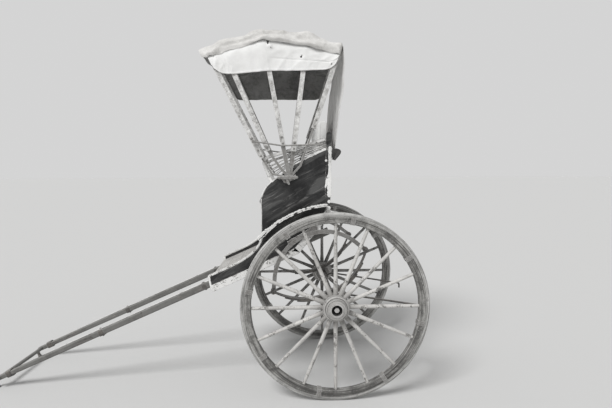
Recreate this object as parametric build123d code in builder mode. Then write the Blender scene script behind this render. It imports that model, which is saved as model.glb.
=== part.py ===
from build123d import *
from collections import namedtuple
from math import asin, atan2, cos, degrees, hypot, radians, sin
import os

# A two-wheeled passenger cart drawn by one person walking between its shafts.
# It is modelled as it parks: resting on its wheels and on the hooked tips of its shafts, so the
# carriage leans forward. Sizes of the carriage are given in its level rolling position, measured
# from the axle: x forward, y to its left, z up. One plane, carriage, then leans them all.

# Wheels
wheel_diameter = 1100.0
track = 1000.0
tyre_depth = 22.0
tyre_width = 34.0
tyre_round = 9.0
felloe_depth = 40.0
felloe_width = 42.0
felloe_chamfer = 4.0
spoke_count = 16
spoke_foot_diameter = 28.0
spoke_neck_diameter = 24.0
spoke_tip_diameter = 19.0
spoke_foot_length = 60.0
nave_radius = 74.0
nave_waist_radius = 52.0
nave_seat_width = 64.0
nave_inner_length = 85.0
nave_outer_length = 74.0
nave_mouth_radius = 31.0
nave_mouth_depth = 24.0
nave_band_thickness = 4.0
wood_gap = 0.3

# Axle and springs
axle_beam = 36.0
axle_arm_diameter = 32.0
axle_running_clearance = 0.05
axle_collar_diameter = 50.0
axle_collar_width = 7.0
axle_collar_gap = 1.0
axle_nut_diameter = 29.0
axle_nut_length = 20.0
spring_offset = 382.0
spring_width = 36.0
leaf_thickness = 7.0
leaf_count = 3
leaf_gap = 0.3
leaf_step = 78.0
spring_eye_reach = 305.0
spring_eye_height = 205.0
spring_centre_height = 60.0
spring_eye_radius = 14.0
spring_bolt_diameter = 12.0
spring_bolt_clearance = 0.2
clip_rod_diameter = 7.0
clip_plate_thickness = 8.0
clip_spread = 50.0
hoop_thickness = 10.0
hoop_depth = 25.0
hoop_radius = 303.0
hoop_centre_height = 130.0
hoop_end_angle = 25.0
hoop_foot_radius = 17.0
prop_diameter = 12.0
prop_reach = 500.0
prop_drop = 285.0
prop_root = 45.0
prop_hook = 34.0
prop_offset = 300.0

# Shafts
shaft_spacing = 480.0
shaft_width = 40.0
shaft_root_depth = 44.0
shaft_tip_depth = 28.0
shaft_height = 385.0
shaft_back = -150.0
crossbar_position = 2085.0
crossbar_diameter = 24.0
toe_diameter = 19.0
toe_drop = 52.0
toe_bend_radius = 34.0
toe_foot_radius = 13.0
bearer_length = 50.0
bearer_depth = 18.0

# Body
body_width = 700.0
frame_thickness = 24.0
wall_thickness = 12.0
wall_inset = 4.0
sill_depth = 40.0
sill_bottom = 347.0
floor_thickness = 12.0
footwell_front = 640.0
footwell_top = 444.0
footwell_flat = 487.0
footwell_lean = 15.0
footwell_sag = 26.0
floor_boards = 7
floor_board_gap = 1.5
riser_position = 172.0
riser_thickness = 14.0
kink_front = 78.0
kink_back = 3.0
box_back = -207.0
box_back_height = 512.0
fender_radius = 580.0
fender_thickness = 14.0
fender_width = 86.0
fender_start_angle = 65.5
fender_end_angle = 109.6
panel_front_low = 239.0
panel_front_low_height = 525.0
panel_front = 169.0
panel_front_height = 678.0
panel_shoulder = 50.0
panel_shoulder_height = 808.0
panel_shoulder_sag = 23.0
panel_crest = -100.0
panel_crest_height = 848.0
panel_back = -367.0
panel_back_height = 858.0
post_width = 32.0
post_top_height = 936.0
back_inset = 6.0
back_panel_thickness = 14.0
back_upper_share = 0.3
back_rail_width = 38.0
back_rail_thickness = 8.0
seat_height = 652.0
seat_board_thickness = 14.0
cushion_thickness = 78.0
cushion_half_width = 323.0
cushion_back_gap = 4.0
cushion_corner = 12.0
cushion_overhang = 8.0
seat_board_gap = 1.0
board_gap_behind = 0.3
box_bottom_gap = 24.0
back_cushion_half_width = 294.0
back_cushion_lift = 4.0
back_cushion_thickness = 56.0
back_cushion_top = 1015.0
armrest_width = 34.0
armrest_thickness = 17.0
armrest_rear = -353.0
armrest_rear_height = 914.0
armrest_foot_lean = 6.0
armrest_foot_height = 762.0
armrest_front = 44.0
armrest_front_height = 958.0
armrest_bend = 36.0

# Hood
pivot_position = -60.0
pivot_height = 790.0
pivot_pin_diameter = 14.0
pivot_clearance = 0.1
pivot_plate_width = 84.0
pivot_plate_height = 46.0
pivot_boss_thickness = 9.0
iron_thickness = 5.0
iron_gap = 1.0
iron_eye_radius = 19.0
iron_lap = 60.0
pivot_nut_radius = 15.0
pivot_nut_length = 9.0
bow_width = 28.0
bow_thickness = 14.0
bow_shoulder_radius = 125.0
canopy_thickness = 4.0
canopy_gap = 0.4
canopy_overhang = 50.0
canopy_shoulder_relief = 6.0
stay_diameter = 9.0
stay_offset = 402.0
stay_front = 46.0
stay_front_height = 1068.0
stay_kink = -97.0
stay_kink_height = 978.0
stay_back = -320.0
stay_back_height = 888.0
stay_hook_back = -334.0
stay_hook_height = 846.0
stay_eye_radius = 10.0
stay_eye_thickness = 7.0
stay_pin_diameter = 9.0
stay_ring_position = -238.0
stay_ring_inner = 6.5
stay_ring_outer = 11.0
stay_ring_width = 5.0
flap_half_width = 350.0
flap_stand_off = 10.0
flap_lap = 46.0
flap_gap = 0.6

# Each bow, with its places forward and up from the axle: the elbow of the iron that carries it,
# the foot where its wooden leg starts and its top. valance is how deep the side cloth hangs there.
Bow = namedtuple("Bow", "name group iron_width elbow foot top valance")
bow_table = (
    Bow("bow_1", "front", 12.0, (23.0, 850.0), (40.0, 958.0), (79.0, 1678.0), 166.0),
    Bow("bow_2", "front", 16.0, (-36.0, 862.0), (-12.0, 984.0), (-12.0, 1682.0), 210.0),
    Bow("bow_3", "middle", 24.0, (-84.0, 892.0), (-104.0, 975.0), (-265.0, 1647.0), 244.0),
    Bow("bow_4", "rear", 24.0, (-100.0, 848.0), (-147.0, 922.0), (-508.0, 1524.0), 224.0),
    Bow("bow_5", "rear", 12.0, (-150.0, 828.0), (-310.0, 997.0), (-659.0, 1380.6), 150.0),
)

# Order in which the irons sit on the pivot pin, counted outward from the body.
iron_layers = {"rear": 0, "middle": 1, "front": 2}

# Worked-out sizes
wheel_radius = wheel_diameter / 2
half_body = body_width / 2
shaft_offset = shaft_spacing / 2
toe_position = crossbar_position + toe_bend_radius + toe_diameter / 2
toe_bottom = shaft_height - toe_drop
toe_reach = hypot(toe_position, toe_bottom)
lean = asin(wheel_radius / toe_reach) + atan2(toe_bottom, toe_position)
toe_bend = toe_bend_radius * 0.6
toe_nose = (toe_position - toe_bend) * cos(lean) + (shaft_height - toe_bend) * sin(lean)
front_reach = toe_nose + toe_bend + toe_diameter / 2
prop_tail = prop_reach * cos(lean) + prop_drop * sin(lean) + prop_diameter / 2
axle_x = -(front_reach - max(wheel_radius, prop_tail)) / 2
forward = (cos(lean), 0, -sin(lean))
upward = (sin(lean), 0, cos(lean))
axle_centre = (axle_x, 0, wheel_radius)
carriage = Plane(origin=axle_centre, x_dir=forward, z_dir=upward)
sides = (("left", 1), ("right", -1))
floor_top = shaft_height + shaft_root_depth / 2 + floor_thickness
wall_outer = half_body - wall_inset
wall_inner = wall_outer - wall_thickness
frame_inner = half_body - frame_thickness


def side_plane(y):
    """Carriage side view at y: sketch x is forward, sketch y is up, and extruding goes to the right."""
    return Plane(origin=carriage.from_local_coords((0, y, 0)), x_dir=forward, z_dir=(0, -1, 0))


def slab_plane(side, inner, outer):
    """Side view from which an extrusion of outer - inner fills that slab on the given side."""
    return side_plane(outer if side > 0 else -inner)


def front_plane(x):
    """Carriage front view at x: sketch x is to the left, sketch y is up, and extruding goes forward."""
    return Plane(origin=carriage.from_local_coords((x, 0, 0)), x_dir=(0, 1, 0), z_dir=forward)


def wheel_plane(side):
    """Face-on plane of one wheel, looking outward."""
    return Plane(origin=(axle_x, side * track / 2, wheel_radius), x_dir=(1, 0, 0), z_dir=(0, side, 0))


def turning_plane(side):
    """Half-section plane of one wheel: sketch x is the radius, sketch y is outward along the axle."""
    return Plane(origin=(axle_x, side * track / 2, wheel_radius), x_dir=(1, 0, 0), z_dir=(0, 0, side))


def wheel_axis(side):
    return Axis((axle_x, side * track / 2, wheel_radius), (0, side, 0))


def keep(builder, label):
    builder.part.label = label
    export_step(builder.part, f"parts/{label}.step")


os.makedirs("parts", exist_ok=True)

# Wheels: solid tyre, wooden felloe ring, spokes and turned nave with iron bands
rim_inner_radius = wheel_radius - tyre_depth - felloe_depth
spoke_start = nave_radius + wood_gap
spoke_end = rim_inner_radius - wood_gap
for side_name, side in sides:
    with BuildPart() as tyre:
        with BuildSketch(turning_plane(side)) as tyre_section:
            with Locations((wheel_radius - tyre_depth / 2, 0)):
                Rectangle(tyre_depth, tyre_width)
            outer_corners = tyre_section.vertices().group_by(Axis.X)[-1]
            fillet(outer_corners, tyre_round)
        revolve(axis=wheel_axis(side))
    keep(tyre, f"tyre_{side_name}")

    with BuildPart() as felloe:
        with BuildSketch(turning_plane(side)) as felloe_section:
            with Locations((rim_inner_radius + felloe_depth / 2 - wood_gap / 2, 0)):
                Rectangle(felloe_depth - wood_gap, felloe_width)
            chamfer(felloe_section.vertices(), felloe_chamfer)
        revolve(axis=wheel_axis(side))
    keep(felloe, f"felloe_{side_name}")

    with BuildPart() as one_spoke:
        with BuildSketch(Plane.XZ):
            with BuildLine():
                Polyline(
                    (spoke_start, 0),
                    (spoke_start, spoke_foot_diameter / 2),
                    (spoke_start + spoke_foot_length * 0.5, spoke_foot_diameter / 2),
                    (spoke_start + spoke_foot_length, spoke_neck_diameter / 2),
                    (spoke_end, spoke_tip_diameter / 2),
                    (spoke_end, 0),
                    close=True,
                )
            make_face()
        revolve(axis=Axis.X)
    with BuildPart() as spokes:
        with Locations(wheel_plane(side)):
            with PolarLocations(0, spoke_count):
                add(one_spoke.part)
    keep(spokes, f"spokes_{side_name}")

    bore_radius = axle_arm_diameter / 2 + axle_running_clearance
    seat_half = nave_seat_width / 2
    with BuildPart() as nave:
        with BuildSketch(turning_plane(side)):
            with BuildLine():
                Polyline(
                    (nave_waist_radius, nave_outer_length),
                    (nave_mouth_radius, nave_outer_length),
                    (nave_mouth_radius, nave_outer_length - nave_mouth_depth),
                    (bore_radius, nave_outer_length - nave_mouth_depth),
                    (bore_radius, -nave_inner_length),
                    (nave_waist_radius, -nave_inner_length),
                )
                RadiusArc((nave_waist_radius, -nave_inner_length), (nave_radius, -seat_half), nave_radius)
                Line((nave_radius, -seat_half), (nave_radius, seat_half))
                RadiusArc((nave_radius, seat_half), (nave_waist_radius, nave_outer_length), nave_radius)
            make_face()
        revolve(axis=wheel_axis(side))
    keep(nave, f"nave_{side_name}")

    band_outer = nave_mouth_radius + nave_band_thickness
    with BuildPart() as nave_bands:
        with BuildSketch(wheel_plane(side).offset(nave_outer_length)):
            Circle(band_outer + nave_band_thickness)
            Circle(nave_mouth_radius, mode=Mode.SUBTRACT)
        extrude(amount=nave_band_thickness)
        with BuildSketch(wheel_plane(side).offset(-nave_inner_length - nave_band_thickness)):
            Circle(nave_waist_radius)
            Circle(nave_mouth_radius, mode=Mode.SUBTRACT)
        extrude(amount=nave_band_thickness)
    keep(nave_bands, f"nave_bands_{side_name}")

# Axle: a square beam with collars and round arms, and a nut in each hub mouth
nave_inner_face = track / 2 - nave_inner_length - nave_band_thickness
arm_end = track / 2 + nave_outer_length - nave_mouth_depth
collar_face = nave_inner_face - axle_collar_gap
with BuildPart() as axle:
    with BuildSketch(side_plane(collar_face - axle_collar_width)):
        Rectangle(axle_beam, axle_beam)
    extrude(amount=2 * (collar_face - axle_collar_width))
    for side_name, side in sides:
        with BuildSketch(wheel_plane(side).offset(collar_face - axle_collar_width - track / 2)):
            Circle(axle_collar_diameter / 2)
        extrude(amount=axle_collar_width)
        with BuildSketch(wheel_plane(side).offset(collar_face - track / 2)):
            Circle(axle_arm_diameter / 2)
        extrude(amount=arm_end - collar_face + axle_collar_gap)
keep(axle, "axle")

with BuildPart() as axle_nuts:
    for side_name, side in sides:
        nut_start = arm_end + axle_collar_gap - track / 2
        with BuildSketch(wheel_plane(side).offset(nut_start)):
            RegularPolygon(axle_nut_diameter / 2, 6)
        extrude(amount=axle_nut_length)
keep(axle_nuts, "axle_nuts")

# Leaf springs: arcs of one family through the eyes, each lower leaf shorter than the one above
spring_rise = spring_eye_height - spring_centre_height
spring_radius = (spring_eye_reach**2 + spring_rise**2) / (2 * spring_rise)
spring_centre = spring_centre_height + spring_radius
spring_inner = spring_offset - spring_width / 2
spring_outer = spring_offset + spring_width / 2
spring_half_angle = degrees(asin(spring_eye_reach / spring_radius))
leaf_stack = leaf_count * leaf_thickness + (leaf_count - 1) * leaf_gap
for side_name, side in sides:
    with BuildPart() as spring:
        for leaf in range(leaf_count):
            leaf_radius = spring_radius + leaf * (leaf_thickness + leaf_gap)
            shorter = degrees(leaf * leaf_step / leaf_radius)
            sweep_half = spring_half_angle - shorter
            with BuildSketch(slab_plane(side, spring_inner, spring_outer)):
                with BuildLine():
                    CenterArc((0, spring_centre), leaf_radius, 270 - sweep_half, 2 * sweep_half)
                trace(line_width=leaf_thickness)
            extrude(amount=spring_width)
        for end in (-1, 1):
            with BuildSketch(slab_plane(side, spring_inner, spring_outer)):
                with Locations((end * spring_eye_reach, spring_eye_height)):
                    Circle(spring_eye_radius)
            extrude(amount=spring_width)
            with BuildSketch(slab_plane(side, spring_inner, spring_outer)):
                with Locations((end * spring_eye_reach, spring_eye_height)):
                    Circle(spring_bolt_diameter / 2 + spring_bolt_clearance)
            extrude(amount=spring_width, mode=Mode.SUBTRACT)
    keep(spring, f"spring_{side_name}")

# Spring seats: block on the axle beam, a plate below it and rods round beam and leaves
seat_block_top = spring_centre_height - leaf_stack + leaf_thickness / 2
with BuildPart() as spring_clips:
    for side_name, side in sides:
        with BuildSketch(slab_plane(side, spring_inner, spring_outer)):
            with Locations((0, (axle_beam / 2 + seat_block_top - wood_gap) / 2)):
                Rectangle(clip_spread - clip_rod_diameter - 2, seat_block_top - wood_gap - axle_beam / 2)
        extrude(amount=spring_width)
    for side_name, side in sides:
        plate_inner = spring_inner - 2 * clip_rod_diameter
        with BuildSketch(slab_plane(side, plate_inner, spring_outer)):
            with Locations((0, -axle_beam / 2 - clip_plate_thickness / 2)):
                Rectangle(clip_spread + 2 * clip_rod_diameter, clip_plate_thickness)
        extrude(amount=spring_outer - plate_inner)
        rod_bottom = -axle_beam / 2
        rod_top = spring_centre_height + leaf_thickness + clip_rod_diameter
        rod_y = spring_inner - clip_rod_diameter / 2 - 1
        for end in (-1, 1):
            with BuildSketch(carriage.offset(rod_bottom)):
                with Locations((end * clip_spread / 2, side * rod_y)):
                    Circle(clip_rod_diameter / 2)
            extrude(amount=rod_top - rod_bottom)
        with BuildSketch(slab_plane(side, spring_inner - clip_rod_diameter - 1, spring_outer)):
            with Locations((0, rod_top - clip_rod_diameter / 2)):
                Rectangle(clip_spread + clip_rod_diameter, clip_rod_diameter)
        extrude(amount=spring_outer - spring_inner + clip_rod_diameter + 1)
keep(spring_clips, "spring_clips")

# Hoop irons: bent flat bars that carry the body sides on the spring eyes
hoop_start = radians(hoop_end_angle)
hoop_leg_x = hoop_radius * cos(hoop_start)
hoop_leg_z = hoop_centre_height + hoop_radius * sin(hoop_start)
for side_name, side in sides:
    with BuildPart() as hoop:
        with BuildSketch(slab_plane(side, half_body, half_body + hoop_thickness)):
            with BuildLine():
                Line((spring_eye_reach, spring_eye_height), (hoop_leg_x, hoop_leg_z))
                CenterArc((0, hoop_centre_height), hoop_radius, hoop_end_angle, 180 - 2 * hoop_end_angle)
                Line((-hoop_leg_x, hoop_leg_z), (-spring_eye_reach, spring_eye_height))
            trace(line_width=hoop_depth)
            with Locations((spring_eye_reach, spring_eye_height), (-spring_eye_reach, spring_eye_height)):
                Circle(hoop_foot_radius)
            with Locations((spring_eye_reach, spring_eye_height), (-spring_eye_reach, spring_eye_height)):
                Circle(spring_bolt_diameter / 2 + spring_bolt_clearance, mode=Mode.SUBTRACT)
        extrude(amount=hoop_thickness)
    keep(hoop, f"hoop_{side_name}")

with BuildPart() as spring_bolts:
    bolt_start = half_body - spring_bolt_diameter
    bolt_end = spring_outer + spring_bolt_diameter / 2
    for side_name, side in sides:
        with BuildSketch(slab_plane(side, bolt_start, bolt_end)):
            with Locations((spring_eye_reach, spring_eye_height), (-spring_eye_reach, spring_eye_height)):
                Circle(spring_bolt_diameter / 2)
        extrude(amount=bolt_end - bolt_start)
        with BuildSketch(slab_plane(side, spring_outer + wood_gap, bolt_end)):
            with Locations((spring_eye_reach, spring_eye_height), (-spring_eye_reach, spring_eye_height)):
                RegularPolygon(spring_bolt_diameter, 6)
        extrude(amount=bolt_end - spring_outer - wood_gap)
keep(spring_bolts, "spring_bolts")

# Rear prop irons: rods from the axle beam, back and down, with a hook that would meet the ground
for side_name, side in sides:
    with BuildPart() as prop:
        prop_y = side * prop_offset
        prop_start = (-axle_beam / 2, 0)
        with BuildLine(side_plane(prop_y)) as prop_path:
            FilletPolyline(
                prop_start,
                (-axle_beam / 2 - prop_root, 0),
                (-prop_reach, -prop_drop),
                (-prop_reach + prop_hook * sin(lean), -prop_drop - prop_hook * cos(lean)),
                radius=prop_diameter,
            )
        with BuildSketch(Plane(origin=prop_path.line @ 0, z_dir=prop_path.line % 0)):
            Circle(prop_diameter / 2)
        sweep(path=prop_path.line)
    keep(prop, f"rear_prop_{side_name}")

# Shafts: tapered timbers cut from a side outline and a plan outline, with a round iron toe
shaft_front = crossbar_position + crossbar_diameter / 2 + 6
shaft_inner = shaft_offset - shaft_width / 2
shaft_outer = shaft_offset + shaft_width / 2
taper_start = carriage.from_local_coords((footwell_front, 0, 0)).X
for side_name, side in sides:
    with BuildPart() as shaft:
        with BuildSketch(slab_plane(side, shaft_inner, shaft_outer)):
            with BuildLine():
                Polyline(
                    (shaft_back, shaft_height - shaft_root_depth / 2),
                    (footwell_front, shaft_height - shaft_root_depth / 2),
                    (shaft_front, shaft_height - shaft_tip_depth / 2),
                    (shaft_front, shaft_height + shaft_tip_depth / 2),
                    (footwell_front, shaft_height + shaft_root_depth / 2),
                    (shaft_back, shaft_height + shaft_root_depth / 2),
                    close=True,
                )
            make_face()
        extrude(amount=shaft_width)
        long_edges = shaft.edges().filter_by(lambda edge: edge.length > shaft_front - footwell_front)
        front_edges = long_edges.filter_by(lambda edge: (edge @ 0.5).X > taper_start)
        fillet(front_edges, shaft_tip_depth * 0.3)
        with BuildSketch(slab_plane(side, shaft_inner, shaft_outer)):
            with Locations((crossbar_position, shaft_height)):
                Circle(crossbar_diameter / 2)
        extrude(amount=shaft_width, mode=Mode.SUBTRACT)
    keep(shaft, f"shaft_{side_name}")

with BuildPart() as crossbar:
    with BuildSketch(side_plane(shaft_offset + shaft_width / 2 + 8)):
        with Locations((crossbar_position, shaft_height)):
            Circle(crossbar_diameter / 2)
    extrude(amount=2 * (shaft_offset + shaft_width / 2 + 8))
keep(crossbar, "crossbar")

for side_name, side in sides:
    with BuildPart() as toe:
        with BuildLine(side_plane(side * shaft_offset)) as toe_path:
            FilletPolyline(
                (shaft_front, shaft_height),
                (toe_position, shaft_height),
                (toe_position, toe_bottom + toe_foot_radius * 0.5),
                radius=toe_bend,
            )
        with BuildSketch(Plane(origin=toe_path.line @ 0, z_dir=toe_path.line % 0)):
            Circle(toe_diameter / 2)
        sweep(path=toe_path.line)
        foot_centre = carriage.from_local_coords((toe_position, side * shaft_offset, toe_bottom))
        foot_height = toe_foot_radius * 0.9
        with BuildSketch(Plane(origin=(foot_centre.X, foot_centre.Y, 0))):
            Circle(toe_foot_radius)
        extrude(amount=foot_height, taper=12)
    keep(toe, f"toe_{side_name}")

# Bearers across the body below the shafts
with BuildPart() as bearers:
    for bearer_x in (kink_front + bearer_length, footwell_front - 2 * bearer_length):
        bearer_top = shaft_height - shaft_root_depth / 2
        with BuildSketch(carriage.offset(bearer_top - bearer_depth)):
            with Locations((bearer_x, 0)):
                Rectangle(bearer_length, 2 * frame_inner)
        extrude(amount=bearer_depth)
keep(bearers, "bearers")

# Body sides: a timber sill that kinks up behind, a raked rear post, and the wall they frame
rake = atan2(panel_back_height - box_back_height, panel_back - box_back)
up_rake = (cos(rake), sin(rake))
off_rake = (sin(rake), -cos(rake))
post_length = (post_top_height - box_back_height) / sin(rake)
sill_middle = sill_bottom + sill_depth / 2


def rake_plane(y):
    """Side view along the raked back: sketch x leads forward off the back, sketch y runs up it."""
    corner = carriage.from_local_coords((box_back, y, box_back_height))
    off = carriage.from_local_coords((box_back + off_rake[0], y, box_back_height + off_rake[1])) - corner
    return Plane(origin=corner, x_dir=off, z_dir=(0, -1, 0))


def back_plane(distance):
    """Face-on plane of the raked back, that far forward off it: sketch x is to the left."""
    corner = carriage.from_local_coords((box_back, 0, box_back_height))
    off = carriage.from_local_coords((box_back + off_rake[0], 0, box_back_height + off_rake[1])) - corner
    return Plane(origin=corner, x_dir=(0, 1, 0), z_dir=off).offset(distance)


with BuildLine() as sill_run:
    FilletPolyline(
        (footwell_front, sill_middle),
        (kink_front, sill_middle),
        (box_back, box_back_height),
        radius=sill_depth,
    )


for side_name, side in sides:
    with BuildPart() as sill:
        with BuildSketch(slab_plane(side, frame_inner, half_body)):
            trace(sill_run.line, line_width=sill_depth)
        extrude(amount=frame_thickness)
    keep(sill, f"sill_{side_name}")

    with BuildPart() as wall:
        with BuildSketch(slab_plane(side, wall_inner, wall_outer)):
            with BuildLine():
                Polyline(
                    (panel_front_low, panel_front_low_height),
                    (panel_front, panel_front_height),
                )
                SagittaArc(
                    (panel_front, panel_front_height),
                    (panel_shoulder, panel_shoulder_height),
                    -panel_shoulder_sag,
                )
                Polyline(
                    (panel_shoulder, panel_shoulder_height),
                    (panel_crest, panel_crest_height),
                    (panel_back, panel_back_height),
                    (box_back, box_back_height),
                    (kink_front, sill_middle),
                    (footwell_front, sill_middle),
                    (footwell_front - footwell_lean, footwell_top),
                    (footwell_flat, footwell_top),
                )
                SagittaArc(
                    (footwell_flat, footwell_top),
                    (panel_front_low, panel_front_low_height),
                    footwell_sag,
                )
            make_face()
            trace(sill_run.line, line_width=sill_depth, mode=Mode.SUBTRACT)
        extrude(amount=wall_thickness)
        with BuildSketch(rake_plane(wall_outer if side > 0 else -wall_inner)):
            with Locations((post_width / 2, post_length / 2)):
                Rectangle(post_width, post_length * 1.5)
        extrude(amount=wall_thickness, mode=Mode.SUBTRACT)
    keep(wall, f"wall_{side_name}")

with BuildPart() as rear_posts:
    for side_name, side in sides:
        with BuildSketch(rake_plane(half_body if side > 0 else -frame_inner)) as post_face:
            with Locations((post_width / 2, post_length / 2)):
                Rectangle(post_width, post_length)
            fillet(post_face.vertices().group_by(Axis.Y)[-1], post_width * 0.4)
        extrude(amount=frame_thickness)
        with BuildSketch(slab_plane(side, frame_inner, half_body)):
            trace(sill_run.line, line_width=sill_depth)
        extrude(amount=frame_thickness, mode=Mode.SUBTRACT)
keep(rear_posts, "rear_posts")

with BuildPart() as mudguards:
    for side_name, side in sides:
        with BuildSketch(slab_plane(side, wall_outer, wall_outer + fender_width)):
            with BuildLine():
                CenterArc(
                    (0, 0),
                    fender_radius + fender_thickness / 2,
                    fender_start_angle,
                    fender_end_angle - fender_start_angle,
                )
            trace(line_width=fender_thickness)
        extrude(amount=fender_width)
        with BuildSketch(rake_plane(half_body if side > 0 else -frame_inner)):
            with Locations((post_width / 2, post_length / 2)):
                Rectangle(post_width, post_length * 1.5)
        extrude(amount=frame_thickness, mode=Mode.SUBTRACT)
keep(mudguards, "mudguards")

# Inside of the body: foot floor boards, riser, seat board, slanted box bottom, back panel
with BuildPart() as foot_floor:
    floor_back = kink_back + floor_thickness
    board_pitch = (footwell_front - floor_back) / floor_boards
    for board in range(floor_boards):
        with BuildSketch(carriage.offset(floor_top - floor_thickness)):
            with Locations((floor_back + (board + 0.5) * board_pitch, 0)):
                Rectangle(board_pitch - floor_board_gap, 2 * (wall_inner if board else frame_inner))
        extrude(amount=floor_thickness)
keep(foot_floor, "foot_floor")

with BuildPart() as riser:
    with BuildSketch(front_plane(riser_position - riser_thickness)):
        with Locations((0, (floor_top + seat_height) / 2)):
            Rectangle(2 * wall_inner, seat_height - floor_top)
    extrude(amount=riser_thickness)
keep(riser, "riser")

back_face = back_inset + back_panel_thickness
seat_rise = seat_height - box_back_height
rake_run = up_rake[0] / up_rake[1]
seat_back_edge = box_back + (back_face + seat_board_gap) / off_rake[0] + seat_rise * rake_run
with BuildPart() as seat_board:
    with BuildSketch(carriage.offset(seat_height)):
        with Locations(((seat_back_edge + riser_position) / 2, 0)):
            Rectangle(riser_position - seat_back_edge, 2 * frame_inner)
    extrude(amount=seat_board_thickness)
keep(seat_board, "seat_board")

with BuildPart() as box_bottom:
    with BuildSketch(side_plane(frame_inner)):
        with BuildLine():
            Polyline(
                (floor_back - board_gap_behind, floor_top),
                (floor_back - board_gap_behind, floor_top - floor_thickness),
                (kink_back, floor_top - floor_thickness),
                (box_back + box_bottom_gap, box_back_height - box_bottom_gap * 0.5),
                (box_back + box_bottom_gap, box_back_height + floor_thickness - box_bottom_gap * 0.5),
                close=True,
            )
        make_face()
    extrude(amount=2 * frame_inner)
keep(box_bottom, "box_bottom")

back_length = (panel_back_height - box_back_height) / sin(rake)
with BuildPart() as back_panel:
    with BuildSketch(back_plane(back_inset)):
        with Locations((0, back_length / 2)):
            Rectangle(2 * frame_inner, back_length)
    extrude(amount=back_panel_thickness)
keep(back_panel, "back_panel")

opening_height = back_length - 3 * back_rail_width
upper_height = opening_height * back_upper_share
lower_height = opening_height - upper_height
with BuildPart() as back_rails:
    with BuildSketch(back_plane(back_inset - back_rail_thickness)):
        with Locations((0, back_length / 2)):
            Rectangle(2 * frame_inner, back_length)
        with Locations((0, back_rail_width + lower_height / 2)):
            Rectangle(2 * (frame_inner - back_rail_width), lower_height, mode=Mode.SUBTRACT)
        with Locations((0, back_length - back_rail_width - upper_height / 2)):
            Rectangle(2 * (frame_inner - back_rail_width), upper_height, mode=Mode.SUBTRACT)
    extrude(amount=back_rail_thickness)
keep(back_rails, "back_rails")

with BuildPart() as armrests:
    for side_name, side in sides:
        with BuildSketch(slab_plane(side, wall_inner - armrest_width, wall_inner)):
            with BuildLine():
                FilletPolyline(
                    (armrest_rear, armrest_rear_height),
                    (armrest_front, armrest_front_height),
                    (armrest_front + armrest_foot_lean, armrest_foot_height),
                    radius=armrest_bend,
                )
            trace(line_width=armrest_thickness)
        extrude(amount=armrest_width)
keep(armrests, "armrests")

# Cushions, plain and closed
cushion_bottom = seat_height + seat_board_thickness
cushion_top = cushion_bottom + cushion_thickness
cushion_rise = cushion_bottom - box_back_height
cushion_back_edge = box_back + (back_face + cushion_back_gap) / off_rake[0] + cushion_rise * rake_run
cushion_front = riser_position + cushion_overhang
with BuildPart() as seat_cushion:
    with BuildSketch(carriage.offset(cushion_bottom)) as cushion_plan:
        with Locations(((cushion_back_edge + cushion_front) / 2, 0)):
            Rectangle(cushion_front - cushion_back_edge, 2 * cushion_half_width)
        fillet(cushion_plan.vertices(), cushion_corner)
    extrude(amount=cushion_thickness)
    cushion_face = seat_cushion.faces().sort_by(Axis(axle_centre, upward))[-1]
    fillet(cushion_face.edges(), cushion_corner)
keep(seat_cushion, "seat_cushion")

back_cushion_low = (cushion_top + back_cushion_lift - box_back_height) / sin(rake)
back_cushion_high = (back_cushion_top - box_back_height) / sin(rake)
back_cushion_middle = back_face + wood_gap + back_cushion_thickness / 2
with BuildPart() as back_cushion:
    with BuildSketch(rake_plane(back_cushion_half_width)) as cushion_side:
        with Locations((back_cushion_middle, (back_cushion_low + back_cushion_high) / 2)):
            Rectangle(back_cushion_thickness, back_cushion_high - back_cushion_low)
        fillet(cushion_side.vertices().group_by(Axis.Y)[-1], back_cushion_thickness * 0.45)
        fillet(cushion_side.vertices().group_by(Axis.Y)[0], cushion_corner)
    extrude(amount=2 * back_cushion_half_width)
keep(back_cushion, "back_cushion")

# Hood pivots: a plate and a headed pin on each wall
pin_inner = wall_outer + pivot_boss_thickness
layer_pitch = iron_thickness + iron_gap
stack_end = pin_inner + iron_gap + len(iron_layers) * layer_pitch
with BuildPart() as hood_pivots:
    for side_name, side in sides:
        with BuildSketch(slab_plane(side, wall_outer, pin_inner)) as plate_face:
            with Locations((pivot_position, pivot_height)):
                RectangleRounded(pivot_plate_width, pivot_plate_height, pivot_plate_width * 0.2)
        extrude(amount=pivot_boss_thickness)
        with BuildSketch(slab_plane(side, pin_inner, stack_end + pivot_nut_length)):
            with Locations((pivot_position, pivot_height)):
                Circle(pivot_pin_diameter / 2)
        extrude(amount=stack_end + pivot_nut_length - pin_inner)
        with BuildSketch(slab_plane(side, stack_end, stack_end + pivot_nut_length)):
            with Locations((pivot_position, pivot_height)):
                RegularPolygon(pivot_nut_radius, 6)
        extrude(amount=pivot_nut_length)
keep(hood_pivots, "hood_pivots")


def along(start, end, distance):
    """Point that far from start on the way to end."""
    run = hypot(end[0] - start[0], end[1] - start[1])
    return (
        start[0] + (end[0] - start[0]) * distance / run,
        start[1] + (end[1] - start[1]) * distance / run,
    )


def iron_inner(group):
    return pin_inner + iron_gap + iron_layers[group] * layer_pitch


def leg_outer(group):
    return iron_inner(group) + iron_thickness + bow_thickness


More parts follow.
